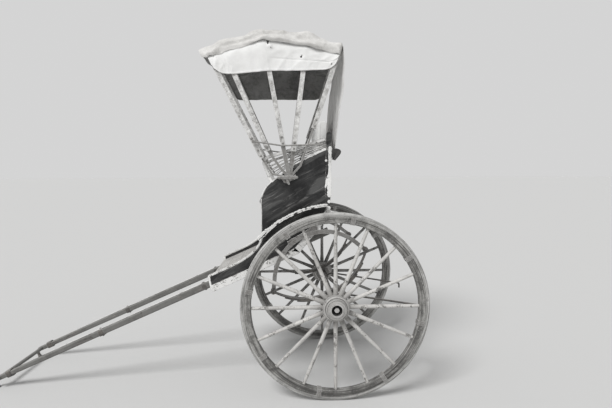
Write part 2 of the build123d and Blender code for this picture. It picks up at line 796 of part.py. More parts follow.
# Hood irons: on each side an eye on the pin, and an arm that laps each wooden leg it carries
for group in iron_layers:
    with BuildPart() as irons:
        inner = iron_inner(group)
        for side_name, side in sides:
            with BuildSketch(slab_plane(side, inner, inner + iron_thickness)):
                for bow in bow_table:
                    if bow.group != group:
                        continue
                    with BuildLine():
                        Polyline((pivot_position, pivot_height), bow.elbow, bow.foot)
                    trace(line_width=bow.iron_width)
                    with BuildLine():
                        Polyline(bow.foot, along(bow.foot, bow.top, iron_lap))
                    trace(line_width=bow.iron_width)
                    with Locations(bow.foot):
                        Circle(bow.iron_width / 2)
                with Locations((pivot_position, pivot_height)):
                    Circle(iron_eye_radius)
                    Circle(pivot_pin_diameter / 2 + pivot_clearance, mode=Mode.SUBTRACT)
            extrude(amount=iron_thickness)
    keep(irons, f"{group}_irons")

# Bows: each one flat timber bent to a hoop, lying in the plane through its foot line
for bow in bow_table:
    leg_out = leg_outer(bow.group)
    leg_line = leg_out - bow_thickness / 2
    foot_x, foot_z = bow.foot
    top_x, top_z = bow.top
    leg_length = hypot(top_x - foot_x, top_z - foot_z)
    top_point = carriage.from_local_coords((top_x, 0, top_z))
    foot_point = carriage.from_local_coords((foot_x, 0, foot_z))
    leg_way = (top_point - foot_point).normalized()
    across = leg_way.cross(Vector(0, 1, 0))
    bow_plane = Plane(origin=top_point - across * (bow_width / 2), x_dir=(0, -1, 0), z_dir=across)
    with BuildPart() as hoop_bow:
        with BuildSketch(bow_plane):
            with BuildLine():
                FilletPolyline(
                    (leg_line, -leg_length),
                    (leg_line, -bow_thickness / 2),
                    (-leg_line, -bow_thickness / 2),
                    (-leg_line, -leg_length),
                    radius=bow_shoulder_radius - bow_thickness / 2,
                )
            trace(line_width=bow_thickness)
        extrude(amount=bow_width)
    keep(hoop_bow, bow.name)


# Canopy: a rigid sheet over each pair of bows, and two that fold between the groups of bows.
# before and after tell how far past its first and last bow a panel reaches, fore and aft, and lift
# how far it stands off the middle of the bows, whose flat tops are tilted to it.
Panel = namedtuple("Panel", "name first last before after lift")
bows = {bow.name: bow for bow in bow_table}
half_bow = bow_width / 2
panel_split = -half_bow - canopy_gap
canopy_table = (
    Panel("canopy_front", "bow_1", "bow_2", canopy_overhang, half_bow, 1.1),
    Panel("canopy_front_fold", "bow_2", "bow_3", panel_split, half_bow, 1.7),
    Panel("canopy_rear_fold", "bow_3", "bow_4", panel_split, panel_split, 1.0),
    Panel("canopy_rear", "bow_4", "bow_5", half_bow, half_bow, 3.5),
)
for panel in canopy_table:
    bow_a, bow_b = bows[panel.first], bows[panel.last]
    half_width = max(leg_outer(bow_a.group), leg_outer(bow_b.group)) + canopy_gap + canopy_thickness
    first = along(bow_a.top, bow_b.top, -panel.before)
    last = along(bow_b.top, bow_a.top, -panel.after)
    low_a = along(bow_a.top, bow_a.foot, bow_a.valance)
    low_b = along(bow_b.top, bow_b.foot, bow_b.valance)
    low_first = (low_a[0] + first[0] - bow_a.top[0], low_a[1] + first[1] - bow_a.top[1])
    low_last = (low_b[0] + last[0] - bow_b.top[0], low_b[1] + last[1] - bow_b.top[1])
    run = hypot(last[0] - first[0], last[1] - first[1])
    lift = (panel.lift + canopy_thickness) / run
    up_x, up_z = (last[1] - first[1]) * lift, (first[0] - last[0]) * lift
    first_point = carriage.from_local_coords((first[0], 0, first[1]))
    last_point = carriage.from_local_coords((last[0], 0, last[1]))
    way = (last_point - first_point).normalized()
    depth = max(bow_a.valance, bow_b.valance) * 2
    sheet_line = half_width - canopy_thickness / 2
    roof_line = panel.lift + canopy_thickness / 2
    with BuildPart() as canopy:
        with BuildSketch(Plane(origin=first_point - way * depth, x_dir=(0, -1, 0), z_dir=way)):
            with BuildLine():
                FilletPolyline(
                    (sheet_line, -depth),
                    (sheet_line, roof_line),
                    (-sheet_line, roof_line),
                    (-sheet_line, -depth),
                    radius=bow_shoulder_radius + roof_line - canopy_shoulder_relief,
                )
            trace(line_width=canopy_thickness)
        extrude(amount=run + 2 * depth)
        with BuildSketch(side_plane(half_width + canopy_thickness)):
            with BuildLine():
                Polyline(
                    (first[0] + up_x, first[1] + up_z),
                    (last[0] + up_x, last[1] + up_z),
                    low_last,
                    low_first,
                    close=True,
                )
            make_face()
        extrude(amount=2 * (half_width + canopy_thickness), mode=Mode.INTERSECT)
    keep(canopy, panel.name)

# Rear flap: hangs from the last bow and laps over the top of the back panel
flap_top = along(bows["bow_5"].top, bows["bow_4"].top, -half_bow - flap_gap - canopy_thickness / 2)
flap_low = panel_back_height - flap_lap
flap_bottom = (box_back + (flap_low - box_back_height) * rake_run - flap_stand_off, flap_low)
with BuildPart() as rear_flap:
    with BuildSketch(side_plane(flap_half_width)):
        with BuildLine():
            Polyline(flap_top, flap_bottom)
        trace(line_width=canopy_thickness)
    extrude(amount=2 * flap_half_width)
keep(rear_flap, "rear_flap")

# Hood stays: thin rods pinned to the first bow's legs. Each one slides through a ring on the last
# bow's leg as the hood folds, and its hooked end keeps it from pulling out.
stay_outer = stay_offset + stay_diameter / 2
eye_inner = stay_offset - stay_eye_thickness / 2
eye_outer = stay_offset + stay_eye_thickness / 2
stay_pin_end = stay_outer + stay_diameter
for side_name, side in sides:
    with BuildPart() as stay:
        with BuildLine(side_plane(side * stay_offset)) as stay_path:
            FilletPolyline(
                (stay_front, stay_front_height),
                (stay_kink, stay_kink_height),
                (stay_back, stay_back_height),
                (stay_hook_back, stay_hook_height),
                radius=2 * stay_diameter,
            )
        with BuildSketch(Plane(origin=stay_path.line @ 0, z_dir=stay_path.line % 0)):
            Circle(stay_diameter / 2)
        sweep(path=stay_path.line)
        with BuildSketch(slab_plane(side, eye_inner, eye_outer)):
            with Locations((stay_front, stay_front_height)):
                Circle(stay_eye_radius)
        extrude(amount=stay_eye_thickness)
        with BuildSketch(slab_plane(side, stay_offset - stay_diameter, stay_offset + stay_diameter)):
            with Locations((stay_front, stay_front_height)):
                Circle(stay_pin_diameter / 2 + pivot_clearance)
        extrude(amount=2 * stay_diameter, mode=Mode.SUBTRACT)
    keep(stay, f"stay_{side_name}")

with BuildPart() as stay_pins:
    for side_name, side in sides:
        pin_start = leg_outer("front")
        with BuildSketch(slab_plane(side, pin_start, stay_pin_end)):
            with Locations((stay_front, stay_front_height)):
                Circle(stay_pin_diameter / 2)
        extrude(amount=stay_pin_end - pin_start)
        with BuildSketch(slab_plane(side, stay_outer + 1, stay_pin_end)):
            with Locations((stay_front, stay_front_height)):
                RegularPolygon(stay_pin_diameter, 6)
        extrude(amount=stay_pin_end - stay_outer - 1)
keep(stay_pins, "stay_pins")

stay_fall = (stay_back_height - stay_kink_height) / (stay_back - stay_kink)
ring_height = stay_kink_height + (stay_ring_position - stay_kink) * stay_fall
ring_centre = carriage.from_local_coords((stay_ring_position, 0, ring_height))
ring_ahead = carriage.from_local_coords((stay_ring_position + 1, 0, ring_height + stay_fall))
with BuildPart() as stay_rings:
    for side_name, side in sides:
        shank_start = iron_inner("rear") + iron_thickness
        shank_end = stay_offset - stay_ring_inner - 1
        with BuildSketch(slab_plane(side, shank_start, shank_end)):
            with Locations((stay_ring_position, ring_height)):
                Circle(stay_pin_diameter / 2)
        extrude(amount=shank_end - shank_start)
        ring_middle = ring_centre + Vector(0, side * stay_offset, 0)
        with BuildSketch(Plane(origin=ring_middle, x_dir=(0, 1, 0), z_dir=ring_ahead - ring_centre)):
            Circle(stay_ring_outer)
        extrude(amount=stay_ring_width / 2, both=True)
        with BuildSketch(Plane(origin=ring_middle, x_dir=(0, 1, 0), z_dir=ring_ahead - ring_centre)):
            Circle(stay_ring_inner)
        extrude(amount=stay_ring_width, both=True, mode=Mode.SUBTRACT)
keep(stay_rings, "stay_rings")

print("lean", round(degrees(lean), 3), "axle_x", round(axle_x, 2))
for name, point in (
    ("pivot", (pivot_position, 0, pivot_height)),
    ("stay pin", (stay_front, stay_offset, stay_front_height)),
    ("crossbar", (crossbar_position, 0, shaft_height)),
    ("seat top", ((cushion_back_edge + cushion_front) / 2, 0, cushion_top)),
    ("floor", ((riser_position + footwell_front) / 2, 0, floor_top)),
):
    place = carriage.from_local_coords(point)
    print(name, [round(value / 1000, 5) for value in (place.X, place.Y, place.Z)])
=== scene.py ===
import math
import random

import bmesh
import bpy
from mathutils import Matrix, Vector, noise
from mathutils.bvhtree import BVHTree


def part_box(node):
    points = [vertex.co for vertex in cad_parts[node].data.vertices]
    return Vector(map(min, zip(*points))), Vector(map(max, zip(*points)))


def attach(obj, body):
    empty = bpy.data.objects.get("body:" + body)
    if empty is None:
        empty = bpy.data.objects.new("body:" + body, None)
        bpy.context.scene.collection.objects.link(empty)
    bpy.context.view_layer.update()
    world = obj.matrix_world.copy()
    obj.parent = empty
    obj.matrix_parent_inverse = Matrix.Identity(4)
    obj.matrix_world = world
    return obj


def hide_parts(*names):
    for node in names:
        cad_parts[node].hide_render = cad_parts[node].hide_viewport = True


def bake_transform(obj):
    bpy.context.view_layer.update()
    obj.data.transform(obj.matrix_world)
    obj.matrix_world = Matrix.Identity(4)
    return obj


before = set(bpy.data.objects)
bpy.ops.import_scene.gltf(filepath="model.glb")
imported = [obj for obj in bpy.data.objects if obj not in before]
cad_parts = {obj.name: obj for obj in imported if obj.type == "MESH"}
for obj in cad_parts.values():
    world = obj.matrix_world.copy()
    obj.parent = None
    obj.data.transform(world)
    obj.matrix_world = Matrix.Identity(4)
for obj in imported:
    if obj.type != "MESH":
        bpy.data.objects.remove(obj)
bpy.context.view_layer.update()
print("stage 1: frame loaded")

# The cart leans forward on its shafts. Places are given as in the part's source: millimetres
# forward, to the left and up from the axle, with the cart held level.
carriage = {"axleX": -0.76427, "axleHeight": 0.55, "leanDegrees": 23.683, "halfTrack": 500}
leanAngle = math.radians(carriage["leanDegrees"])
forward = Vector((math.cos(leanAngle), 0, -math.sin(leanAngle)))
upward = Vector((math.sin(leanAngle), 0, math.cos(leanAngle)))
lateral = Vector((0, 1, 0))
axleCentre = Vector((carriage["axleX"], 0, carriage["axleHeight"]))
sides = (("left", 1), ("right", -1))


def level(x, y, z):
    return axleCentre + forward * (x / 1000) + lateral * (y / 1000) + upward * (z / 1000)


def smooth(value, low, high):
    t = min(max((value - low) / (high - low), 0.0), 1.0)
    return t * t * (3 - 2 * t)


def mix(a, b, t):
    return a + (b - a) * t


class Graph:
    # a node tree, with short ways to add nodes to it; most of them return the new node's output
    def __init__(self, tree):
        self.tree = tree

    def feed(self, socket, value):
        if isinstance(value, bpy.types.NodeSocket):
            self.tree.links.new(value, socket)
        else:
            socket.default_value = value

    def add(self, kind, inputs=None, **options):
        made = self.tree.nodes.new(f"ShaderNode{kind}")
        for option, value in options.items():
            setattr(made, option, value)
        for socket, value in (inputs or {}).items():
            self.feed(made.inputs[socket], value)
        return made

    def use(self, group, **inputs):
        made = self.add("Group", node_tree=group)
        for label, value in inputs.items():
            self.feed(made.inputs[label.title()], value)
        return made.outputs

    def calc(self, operation, a, b=0.0, clamp=False):
        return self.add("Math", {0: a, 1: b}, operation=operation, use_clamp=clamp).outputs[0]

    def plus(self, a, b, clamp=False):
        return self.calc("ADD", a, b, clamp)

    def times(self, a, b, clamp=False):
        return self.calc("MULTIPLY", a, b, clamp)

    def remap(self, value, low, high, newLow=0.0, newHigh=1.0):
        inputs = {"Value": value, "From Min": low, "From Max": high, "To Min": newLow, "To Max": newHigh}
        return self.add("MapRange", inputs, interpolation_type="SMOOTHSTEP").outputs["Result"]

    def blend(self, factor, a, b):
        made = self.add("Mix", {0: factor}, data_type="RGBA", blend_type="MIX")
        for socket, value in ((6, a), (7, b)):
            self.feed(made.inputs[socket], value if isinstance(value, bpy.types.NodeSocket) else (*value, 1))
        return made.outputs[2]

    def noise(self, place, scale, detail, rough=0.5, distortion=0.0):
        inputs = {"Vector": place, "Scale": scale, "Detail": detail}
        inputs.update({"Roughness": rough, "Distortion": distortion})
        return self.add("TexNoise", inputs).outputs["Fac"]

    def stretch(self, place, scale):
        return self.add("VectorMath", {0: place, 1: scale}, operation="MULTIPLY").outputs[0]

    def place(self):
        return self.add("TexCoord").outputs["Object"]

    def turned(self, place, angle):
        return self.add("VectorRotate", {"Vector": place, "Angle": angle}, rotation_type="Y_AXIS").outputs[0]

    def bump(self, shader, height, strength, distance):
        made = self.add("Bump", {"Strength": strength, "Distance": distance, "Height": height})
        self.feed(shader["Normal"], made.outputs["Normal"])


materials = {}


def newMaterial(name, constants):
    material = bpy.data.materials.new(name)
    material.use_nodes = True
    graph = Graph(material.node_tree)
    shader = graph.tree.nodes["Principled BSDF"].inputs
    for socket, value in constants.items():
        shader[socket].default_value = value
    materials[name] = material
    return graph, shader


# Camera at the photograph's place
viewCamera = {
    "place": (-0.4845, 3.0509, 1.3088),
    "yawDegrees": -2.489,
    "pitchDegrees": 3.600,
    "rollDegrees": -0.240,
    "focalPixels": 450.0,
    "photoWidth": 612,
    "sensorWidth": 36,
    "clipEnd": 1000,
}


def addCamera():
    data = bpy.data.cameras.new("viewCamera")
    data.sensor_width = viewCamera["sensorWidth"]
    data.lens = viewCamera["focalPixels"] / viewCamera["photoWidth"] * viewCamera["sensorWidth"]
    data.clip_end = viewCamera["clipEnd"]
    holder = bpy.data.objects.new("viewCamera", data)
    yaw, pitch, roll = (math.radians(viewCamera[f"{turn}Degrees"]) for turn in ("yaw", "pitch", "roll"))
    ahead = Vector((math.sin(yaw) * math.cos(pitch), -math.cos(yaw) * math.cos(pitch), -math.sin(pitch)))
    right = ahead.cross(Vector((0, 0, 1))).normalized()
    up = right.cross(ahead)
    right, up = right * math.cos(roll) + up * math.sin(roll), up * math.cos(roll) - right * math.sin(roll)
    turn = Matrix((right, up, -ahead)).transposed().to_4x4()
    holder.matrix_world = Matrix.Translation(viewCamera["place"]) @ turn
    bpy.context.collection.objects.link(holder)
    bpy.context.scene.camera = holder


# Studio: pale round floor, even sky and one broad, soft sun from above the camera's side
studio = {
    "floorColour": (0.635, 0.635, 0.63),
    "floorRadius": 400,
    "floorSteps": 96,
    "backdropColour": (0.66, 0.66, 0.66),
    "skyColour": (0.92, 0.92, 0.92),
    "skyStrength": 0.50,
    "sunWay": (0.80, 1.00, 1.45),
    "sunStrength": 2.35,
    "sunSpreadDegrees": 22,
}


def addSky():
    world = bpy.data.worlds.new("studioSky")
    world.use_nodes = True
    graph = Graph(world.node_tree)
    sky = graph.tree.nodes["Background"]
    sky.inputs["Color"].default_value = (*studio["skyColour"], 1)
    sky.inputs["Strength"].default_value = studio["skyStrength"]
    backdrop = graph.add("Background", {"Color": (*studio["backdropColour"], 1)})
    ray = graph.add("LightPath").outputs
    seen = ray["Is Camera Ray"]
    for label in ("Is Glossy Ray", "Is Transmission Ray"):
        seen = graph.calc("MAXIMUM", seen, ray[label])
    chosen = graph.add("MixShader", {0: seen, 1: sky.outputs[0], 2: backdrop.outputs[0]})
    graph.feed(graph.tree.nodes["World Output"].inputs["Surface"], chosen.outputs[0])
    bpy.context.scene.world = world


def addFloor():
    turns = [math.tau * step / studio["floorSteps"] for step in range(studio["floorSteps"])]
    radius = studio["floorRadius"]
    rim = [(math.cos(turn) * radius, math.sin(turn) * radius, 0) for turn in turns]
    mesh = bpy.data.meshes.new("studioFloor")
    mesh.from_pydata(rim, [], [tuple(range(len(rim)))])
    floor = bpy.data.objects.new("studioFloor", mesh)
    bpy.context.collection.objects.link(floor)
    newMaterial(
        "floorPaint", {"Base Color": (*studio["floorColour"], 1), "Roughness": 0.9, "Specular IOR Level": 0.1}
    )
    mesh.materials.append(materials["floorPaint"])


def addSun():
    sun = bpy.data.lights.new("softSun", "SUN")
    sun.energy = studio["sunStrength"]
    sun.angle = math.radians(studio["sunSpreadDegrees"])
    holder = bpy.data.objects.new("softSun", sun)
    holder.rotation_euler = Vector(studio["sunWay"]).to_track_quat("Z", "Y").to_euler()
    bpy.context.collection.objects.link(holder)


bpy.context.scene.view_settings.view_transform = "Standard"
addCamera()
addSky()
addFloor()
addSun()
print("stage 2: camera and studio")


# Shader groups for the effects that several materials share
def newGroup(name, outputs, **inputs):
    # inputs hold each socket's first value, and None makes a vector socket
    group = bpy.data.node_groups.new(name, "ShaderNodeTree")
    for label, value in inputs.items():
        kind = "NodeSocketVector" if value is None else "NodeSocketFloat"
        socket = group.interface.new_socket(name=label.title(), in_out="INPUT", socket_type=kind)
        if value is not None:
            socket.default_value = value
    for label in outputs:
        group.interface.new_socket(name=label, in_out="OUTPUT", socket_type="NodeSocketFloat")
    start, end = group.nodes.new("NodeGroupInput"), group.nodes.new("NodeGroupOutput")
    return Graph(group), start.outputs, end.inputs


def makeEdgeWear():
    graph, start, end = newGroup("edgeWear", ("Mask",), radius=0.004, gain=8.0, scale=60.0)
    rounded = graph.add("Bevel", {"Radius": start["Radius"]}, samples=6)
    normals = {0: rounded.outputs[0], 1: graph.add("NewGeometry").outputs["Normal"]}
    facing = graph.add("VectorMath", normals, operation="DOT_PRODUCT")
    edge = graph.calc("SUBTRACT", 1.0, facing.outputs["Value"])
    breakup = graph.noise(graph.place(), start["Scale"], 4.0)
    gain = graph.times(edge, start["Gain"])
    rough = graph.times(gain, graph.remap(breakup, 0.38, 0.62, 0.25, 1.6))
    graph.feed(end["Mask"], graph.calc("MINIMUM", rough, 1.0, True))
    return graph.tree


def makeWoodGrain():
    graph, start, end = newGroup("woodGrain", ("Grain", "Height"), vector=None, scale=6.0, stretch=16.0)
    across = graph.add("CombineXYZ", {0: 1.0, 1: start["Stretch"], 2: start["Stretch"]})
    laid = graph.stretch(start["Vector"], across.outputs[0])
    broad = graph.noise(laid, start["Scale"], 6.0, 0.62, 0.5)
    fine = graph.noise(laid, graph.times(start["Scale"], 5.0), 4.0)
    grain = graph.plus(graph.times(broad, 0.65), graph.times(fine, 0.35))
    graph.feed(end["Grain"], graph.remap(grain, 0.32, 0.68))
    graph.feed(end["Height"], grain)
    return graph.tree


def makePaintLoss():
    graph, start, end = newGroup(
        "paintLoss", ("Bare", "Height"), vector=None, scale=12.0, loss=0.4, edge=0.0, softness=0.015
    )
    broad = graph.noise(start["Vector"], start["Scale"], 7.0, 0.68)
    fine = graph.noise(start["Vector"], graph.times(start["Scale"], 7.0), 3.0)
    total = graph.plus(graph.times(broad, 0.75), graph.times(fine, 0.25))
    total = graph.plus(total, graph.times(start["Edge"], 0.22))
    limit = graph.calc("SUBTRACT", 1.0, start["Loss"])
    over = graph.calc("SUBTRACT", total, limit)
    bare = graph.plus(graph.calc("DIVIDE", over, graph.times(start["Softness"], 2.0)), 0.5, True)
    graph.feed(end["Bare"], bare)
    graph.feed(end["Height"], graph.calc("SUBTRACT", 1.0, bare))
    return graph.tree


def makeGrime():
    graph, start, end = newGroup("grime", ("Mask",), vector=None, scale=3.0, amount=0.5)
    broad = graph.noise(start["Vector"], start["Scale"], 8.0, 0.7, 0.6)
    spots = graph.noise(start["Vector"], graph.times(start["Scale"], 9.0), 5.0, 0.75)
    mask = graph.remap(graph.plus(graph.times(broad, 0.7), graph.times(spots, 0.3)), 0.40, 0.64)
    graph.feed(end["Mask"], graph.times(mask, start["Amount"], True))
    return graph.tree


def makeDust():
    graph, start, end = newGroup("dust", ("Mask",), amount=0.5, scale=14.0)
    parts = graph.add("SeparateXYZ", {0: graph.add("NewGeometry").outputs["Normal"]})
    cloud = graph.noise(graph.place(), start["Scale"], 6.0, 0.7)
    up = graph.remap(parts.outputs["Z"], 0.15, 0.95)
    mask = graph.times(up, graph.remap(cloud, 0.35, 0.65, 0.35, 1.0))
    graph.feed(end["Mask"], graph.times(mask, start["Amount"], True))
    return graph.tree


def makeWeave():
    graph, start, end = newGroup("weave", ("Height", "Slub"), vector=None, threads=3600.0)
    parts = graph.add("SeparateXYZ", {0: start["Vector"]}).outputs
    waves = [graph.calc("SINE", graph.times(parts[axis], start["Threads"])) for axis in "XYZ"]
    pairs = [graph.times(waves[a], waves[b]) for a, b in ((0, 1), (1, 2), (2, 0))]
    graph.feed(end["Height"], graph.plus(graph.plus(pairs[0], pairs[1]), pairs[2]))
    graph.feed(end["Slub"], graph.noise(graph.stretch(start["Vector"], (30, 30, 420)), 1.0, 2.0))
    return graph.tree


def makeWheelFigure():
    # lines that run round the wheel, and grain that runs out along its spokes
    graph, start, end = newGroup("wheelFigure", ("Radius", "Lines", "Grain"), vector=None, fineness=180.0)
    centring = {0: start["Vector"], 1: tuple(axleCentre)}
    centred = graph.add("VectorMath", centring, operation="SUBTRACT")
    parts = graph.add("SeparateXYZ", {0: centred.outputs[0]}).outputs
    squares = [graph.times(parts[axis], parts[axis]) for axis in "XZ"]
    radius = graph.calc("SQRT", graph.plus(squares[0], squares[1]))
    angle = graph.calc("ARCTAN2", parts["Z"], parts["X"])
    ringOut = graph.times(radius, start["Fineness"])
    ringAcross = graph.times(parts["Y"], start["Fineness"])
    drift = [graph.times(parts[axis], 5.0) for axis in "XZ"]
    rings = graph.add("CombineXYZ", {0: graph.plus(ringOut, drift[0]), 1: ringAcross, 2: drift[1]})
    lines = graph.noise(rings.outputs[0], 1.0, 4.0, 0.6)
    spread = {0: graph.times(radius, 9.0), 1: graph.times(angle, 60.0), 2: graph.times(parts["Y"], 200.0)}
    grain = graph.noise(graph.add("CombineXYZ", spread).outputs[0], 1.0, 5.0, 0.65)
    for label, value in (("Radius", radius), ("Lines", lines), ("Grain", grain)):
        graph.feed(end[label], value)
    return graph.tree


edgeWear = makeEdgeWear()
woodGrain = makeWoodGrain()
paintLoss = makePaintLoss()
grime = makeGrime()
dust = makeDust()
weave = makeWeave()
wheelFigure = makeWheelFigure()

# Painted and bare timber. Loss is how much paint is gone, and edge how much more of it at the edges.
timbers = {
    "shaftTimber": {
        "paint": (0.17, 0.168, 0.16), "wood": (0.27, 0.26, 0.245), "dark": (0.05, 0.048, 0.045),
        "loss": 0.44, "soft": 0.015, "scale": 8.0, "edge": 1.0, "dirt": 0.5,
    },
    "whiteTimber": {
        "paint": (0.84, 0.835, 0.82), "wood": (0.30, 0.29, 0.275), "dark": (0.06, 0.057, 0.053),
        "loss": 0.42, "soft": 0.015, "scale": 30.0, "edge": 0.9, "dirt": 0.30,
    },
    "chippedWhite": {
        "paint": (0.88, 0.875, 0.86), "wood": (0.12, 0.115, 0.11), "dark": (0.03, 0.03, 0.03),
        "loss": 0.40, "soft": 0.015, "scale": 60.0, "edge": 0.0, "dirt": 0.16,
    },
    "boardTimber": {
        "paint": (0.52, 0.51, 0.49), "wood": (0.42, 0.405, 0.385), "dark": (0.24, 0.235, 0.225),
        "loss": 0.43, "soft": 0.14, "scale": 14.0, "edge": 0.5, "dirt": 0.45,
    },
    # the bows' edge is below zero: their edges keep the white paint, a painted highlight along the slats'
    # edges
    "bowTimber": {
        "paint": (0.80, 0.795, 0.78), "wood": (0.36, 0.35, 0.335), "dark": (0.10, 0.095, 0.09),
        "loss": 0.47, "soft": 0.12, "scale": 26.0, "edge": -1.1, "dirt": 0.32,
    },
}
timberDust = (0.42, 0.41, 0.39)


def makeTimber(name, look):
    graph, shader = newMaterial(name, {"Roughness": 0.72})
    place = graph.turned(graph.place(), -leanAngle)
    grain = graph.use(woodGrain, vector=place, scale=6.0, stretch=14.0)
    wear = graph.use(edgeWear, radius=0.005, gain=6.0, scale=45.0)
    edge = graph.times(wear["Mask"], look["edge"])
    chips = graph.use(
        paintLoss, vector=place, scale=look["scale"], loss=look["loss"], edge=edge, softness=look["soft"]
    )
    dirt = graph.use(grime, vector=place, scale=4.0, amount=look["dirt"])
    settled = graph.use(dust, amount=0.30, scale=14.0)
    wood = graph.blend(grain["Grain"], look["dark"], look["wood"])
    colour = graph.blend(chips["Bare"], look["paint"], wood)
    colour = graph.blend(dirt["Mask"], colour, look["dark"])
    graph.feed(shader["Base Color"], graph.blend(settled["Mask"], colour, timberDust))
    graph.feed(shader["Roughness"], graph.plus(graph.times(chips["Bare"], 0.22), 0.58))
    height = graph.plus(graph.times(chips["Height"], 0.5), graph.times(grain["Height"], 0.5))
    graph.bump(shader, height, 0.6, 0.0012)


# Dark lacquered panels, dented and rubbed in patches, with slanting streaks of painted sheen and long fine
# scratches
lacquer = {
    "colour": (0.010, 0.010, 0.0105),
    # rubbed is the colour of the rubbed patches and also of the slanting streaks of painted sheen
    "rubbed": (0.11, 0.11, 0.108),
    "worn": (0.36, 0.35, 0.34),
    "slantDegrees": -30,
    "sheenStretch": (2.2, 2.2, 13),
    "scratchStretch": (7, 7, 150),
}


def makeLacquer():
    shine = {"Roughness": 0.34, "Specular IOR Level": 0.35, "Coat Weight": 0.10, "Coat Roughness": 0.25}
    graph, shader = newMaterial("darkLacquer", shine)
    place = graph.place()
    slanted = graph.turned(place, math.radians(lacquer["slantDegrees"]))
    sheenStrokes = graph.noise(graph.stretch(slanted, lacquer["sheenStretch"]), 1.4, 7.0, 0.66, 0.8)
    hair = graph.noise(graph.stretch(slanted, lacquer["scratchStretch"]), 1.0, 4.0, 0.7, 0.3)
    patches = graph.use(grime, vector=place, scale=5.0, amount=0.8)
    wear = graph.use(edgeWear, radius=0.006, gain=7.0, scale=40.0)
    chips = graph.use(paintLoss, vector=place, scale=22.0, loss=0.31, edge=wear["Mask"])
    # how far the slanting streaks of painted sheen lighten the lacquer
    rub = graph.times(graph.remap(sheenStrokes, 0.46, 0.66), 0.75)
    colour = graph.blend(rub, lacquer["colour"], lacquer["rubbed"])
    colour = graph.blend(graph.times(patches["Mask"], 0.35), colour, lacquer["rubbed"])
    scratch = graph.times(graph.remap(hair, 0.56, 0.70), graph.remap(sheenStrokes, 0.42, 0.60, 0.05, 0.75))
    colour = graph.blend(scratch, colour, lacquer["worn"])
    graph.feed(shader["Base Color"], graph.blend(chips["Bare"], colour, lacquer["worn"]))
    dull = graph.plus(graph.times(patches["Mask"], 0.28), 0.30)
    graph.feed(shader["Roughness"], graph.plus(dull, graph.times(rub, 0.2)))
    dents = graph.noise(place, 7.0, 3.0)
    graph.bump(shader, graph.plus(dents, graph.times(chips["Height"], 0.1)), 0.5, 0.012)


# Wheel finishes: lines run round the rim, and grain runs out along each spoke
wheelLooks = {
    "tyreRubber": {
        "light": (0.56, 0.555, 0.54), "dark": (0.13, 0.128, 0.122),
        "rough": 0.86, "bump": 0.0018, "fineness": 260.0, "blotch": 0.45, "speck": 0.6,
    },
    "rimTimber": {
        "light": (0.36, 0.355, 0.34), "dark": (0.060, 0.058, 0.055),
        "rough": 0.80, "bump": 0.0014, "fineness": 170.0, "blotch": 0.9, "speck": 0.9,
    },
    "hubTimber": {
        "light": (0.60, 0.59, 0.57), "dark": (0.17, 0.165, 0.16),
        "rough": 0.62, "bump": 0.0010, "fineness": 420.0, "blotch": 0.4, "speck": 0.3,
    },
}
speckColour = (0.66, 0.655, 0.64)


def makeRoundFinish(name, look):
    graph, shader = newMaterial(name, {"Roughness": look["rough"]})
    place = graph.place()
    lines = graph.use(wheelFigure, vector=place, fineness=look["fineness"])["Lines"]
    blotches = graph.use(grime, vector=place, scale=12.0, amount=look["blotch"])
    wear = graph.use(edgeWear, radius=0.004, gain=7.0, scale=35.0)
    chips = graph.use(paintLoss, vector=place, scale=26.0, loss=0.40, edge=0.0)
    colour = graph.blend(graph.remap(lines, 0.36, 0.60), look["dark"], look["light"])
    colour = graph.blend(blotches["Mask"], colour, look["dark"])
    colour = graph.blend(graph.times(chips["Bare"], 0.6), colour, look["dark"])
    colour = graph.blend(graph.times(wear["Mask"], 0.85), colour, look["light"])
    specks = graph.use(paintLoss, vector=place, scale=75.0, loss=0.36, edge=0.0)
    colour = graph.blend(graph.times(specks["Bare"], look["speck"]), colour, speckColour)
    graph.feed(shader["Base Color"], colour)
    graph.bump(shader, graph.plus(lines, graph.times(chips["Height"], 0.25)), 0.7, look["bump"])


# Spokes: the right wheel's stand in the shade in the photograph and are kept darker
spokeLooks = {
    "spokePaint": {
        "light": (0.60, 0.59, 0.57), "dark": (0.10, 0.097, 0.092), "wood": (0.28, 0.272, 0.26),
        "loss": 0.44,
    },
    "spokeShaded": {
        "light": (0.30, 0.295, 0.285), "dark": (0.05, 0.048, 0.046), "wood": (0.13, 0.126, 0.12),
        "loss": 0.46,
    },
}


def makeSpokePaint(name, look):
    graph, shader = newMaterial(name, {"Roughness": 0.66})
    place = graph.place()
    figure = graph.use(wheelFigure, vector=place, fineness=180.0)
    chips = graph.use(paintLoss, vector=place, scale=18.0, loss=look["loss"], edge=0.0)
    dirt = graph.use(grime, vector=place, scale=7.0, amount=0.5)
    wood = graph.blend(graph.remap(figure["Grain"], 0.35, 0.62), look["dark"], look["wood"])
    colour = graph.blend(chips["Bare"], look["light"], wood)
    nearHub = graph.remap(figure["Radius"], 0.085, 0.17, 0.7, 0.0)
    colour = graph.blend(nearHub, colour, look["wood"])
    graph.feed(shader["Base Color"], graph.blend(dirt["Mask"], colour, look["wood"]))
    graph.bump(shader, graph.plus(figure["Grain"], graph.times(chips["Height"], 0.5)), 0.6, 0.0009)


# Iron work: dull, pitted and dusty
ironLooks = {
    "blackIron": {
        "colour": (0.085, 0.084, 0.082), "rust": (0.17, 0.155, 0.14), "bright": (0.36, 0.355, 0.35),
    },
    "hoodIron": {
        "colour": (0.34, 0.335, 0.325), "rust": (0.17, 0.16, 0.15), "bright": (0.70, 0.69, 0.68),
    },
    # near-black for the hubs' mouths: painted shade in the recess
    "recessGrease": {
        "colour": (0.015, 0.015, 0.015), "rust": (0.03, 0.029, 0.028), "bright": (0.06, 0.06, 0.06),
    },
    "brightIron": {
        "colour": (0.62, 0.61, 0.60), "rust": (0.25, 0.24, 0.22), "bright": (0.85, 0.85, 0.84),
    },
}
ironDust = (0.36, 0.35, 0.335)


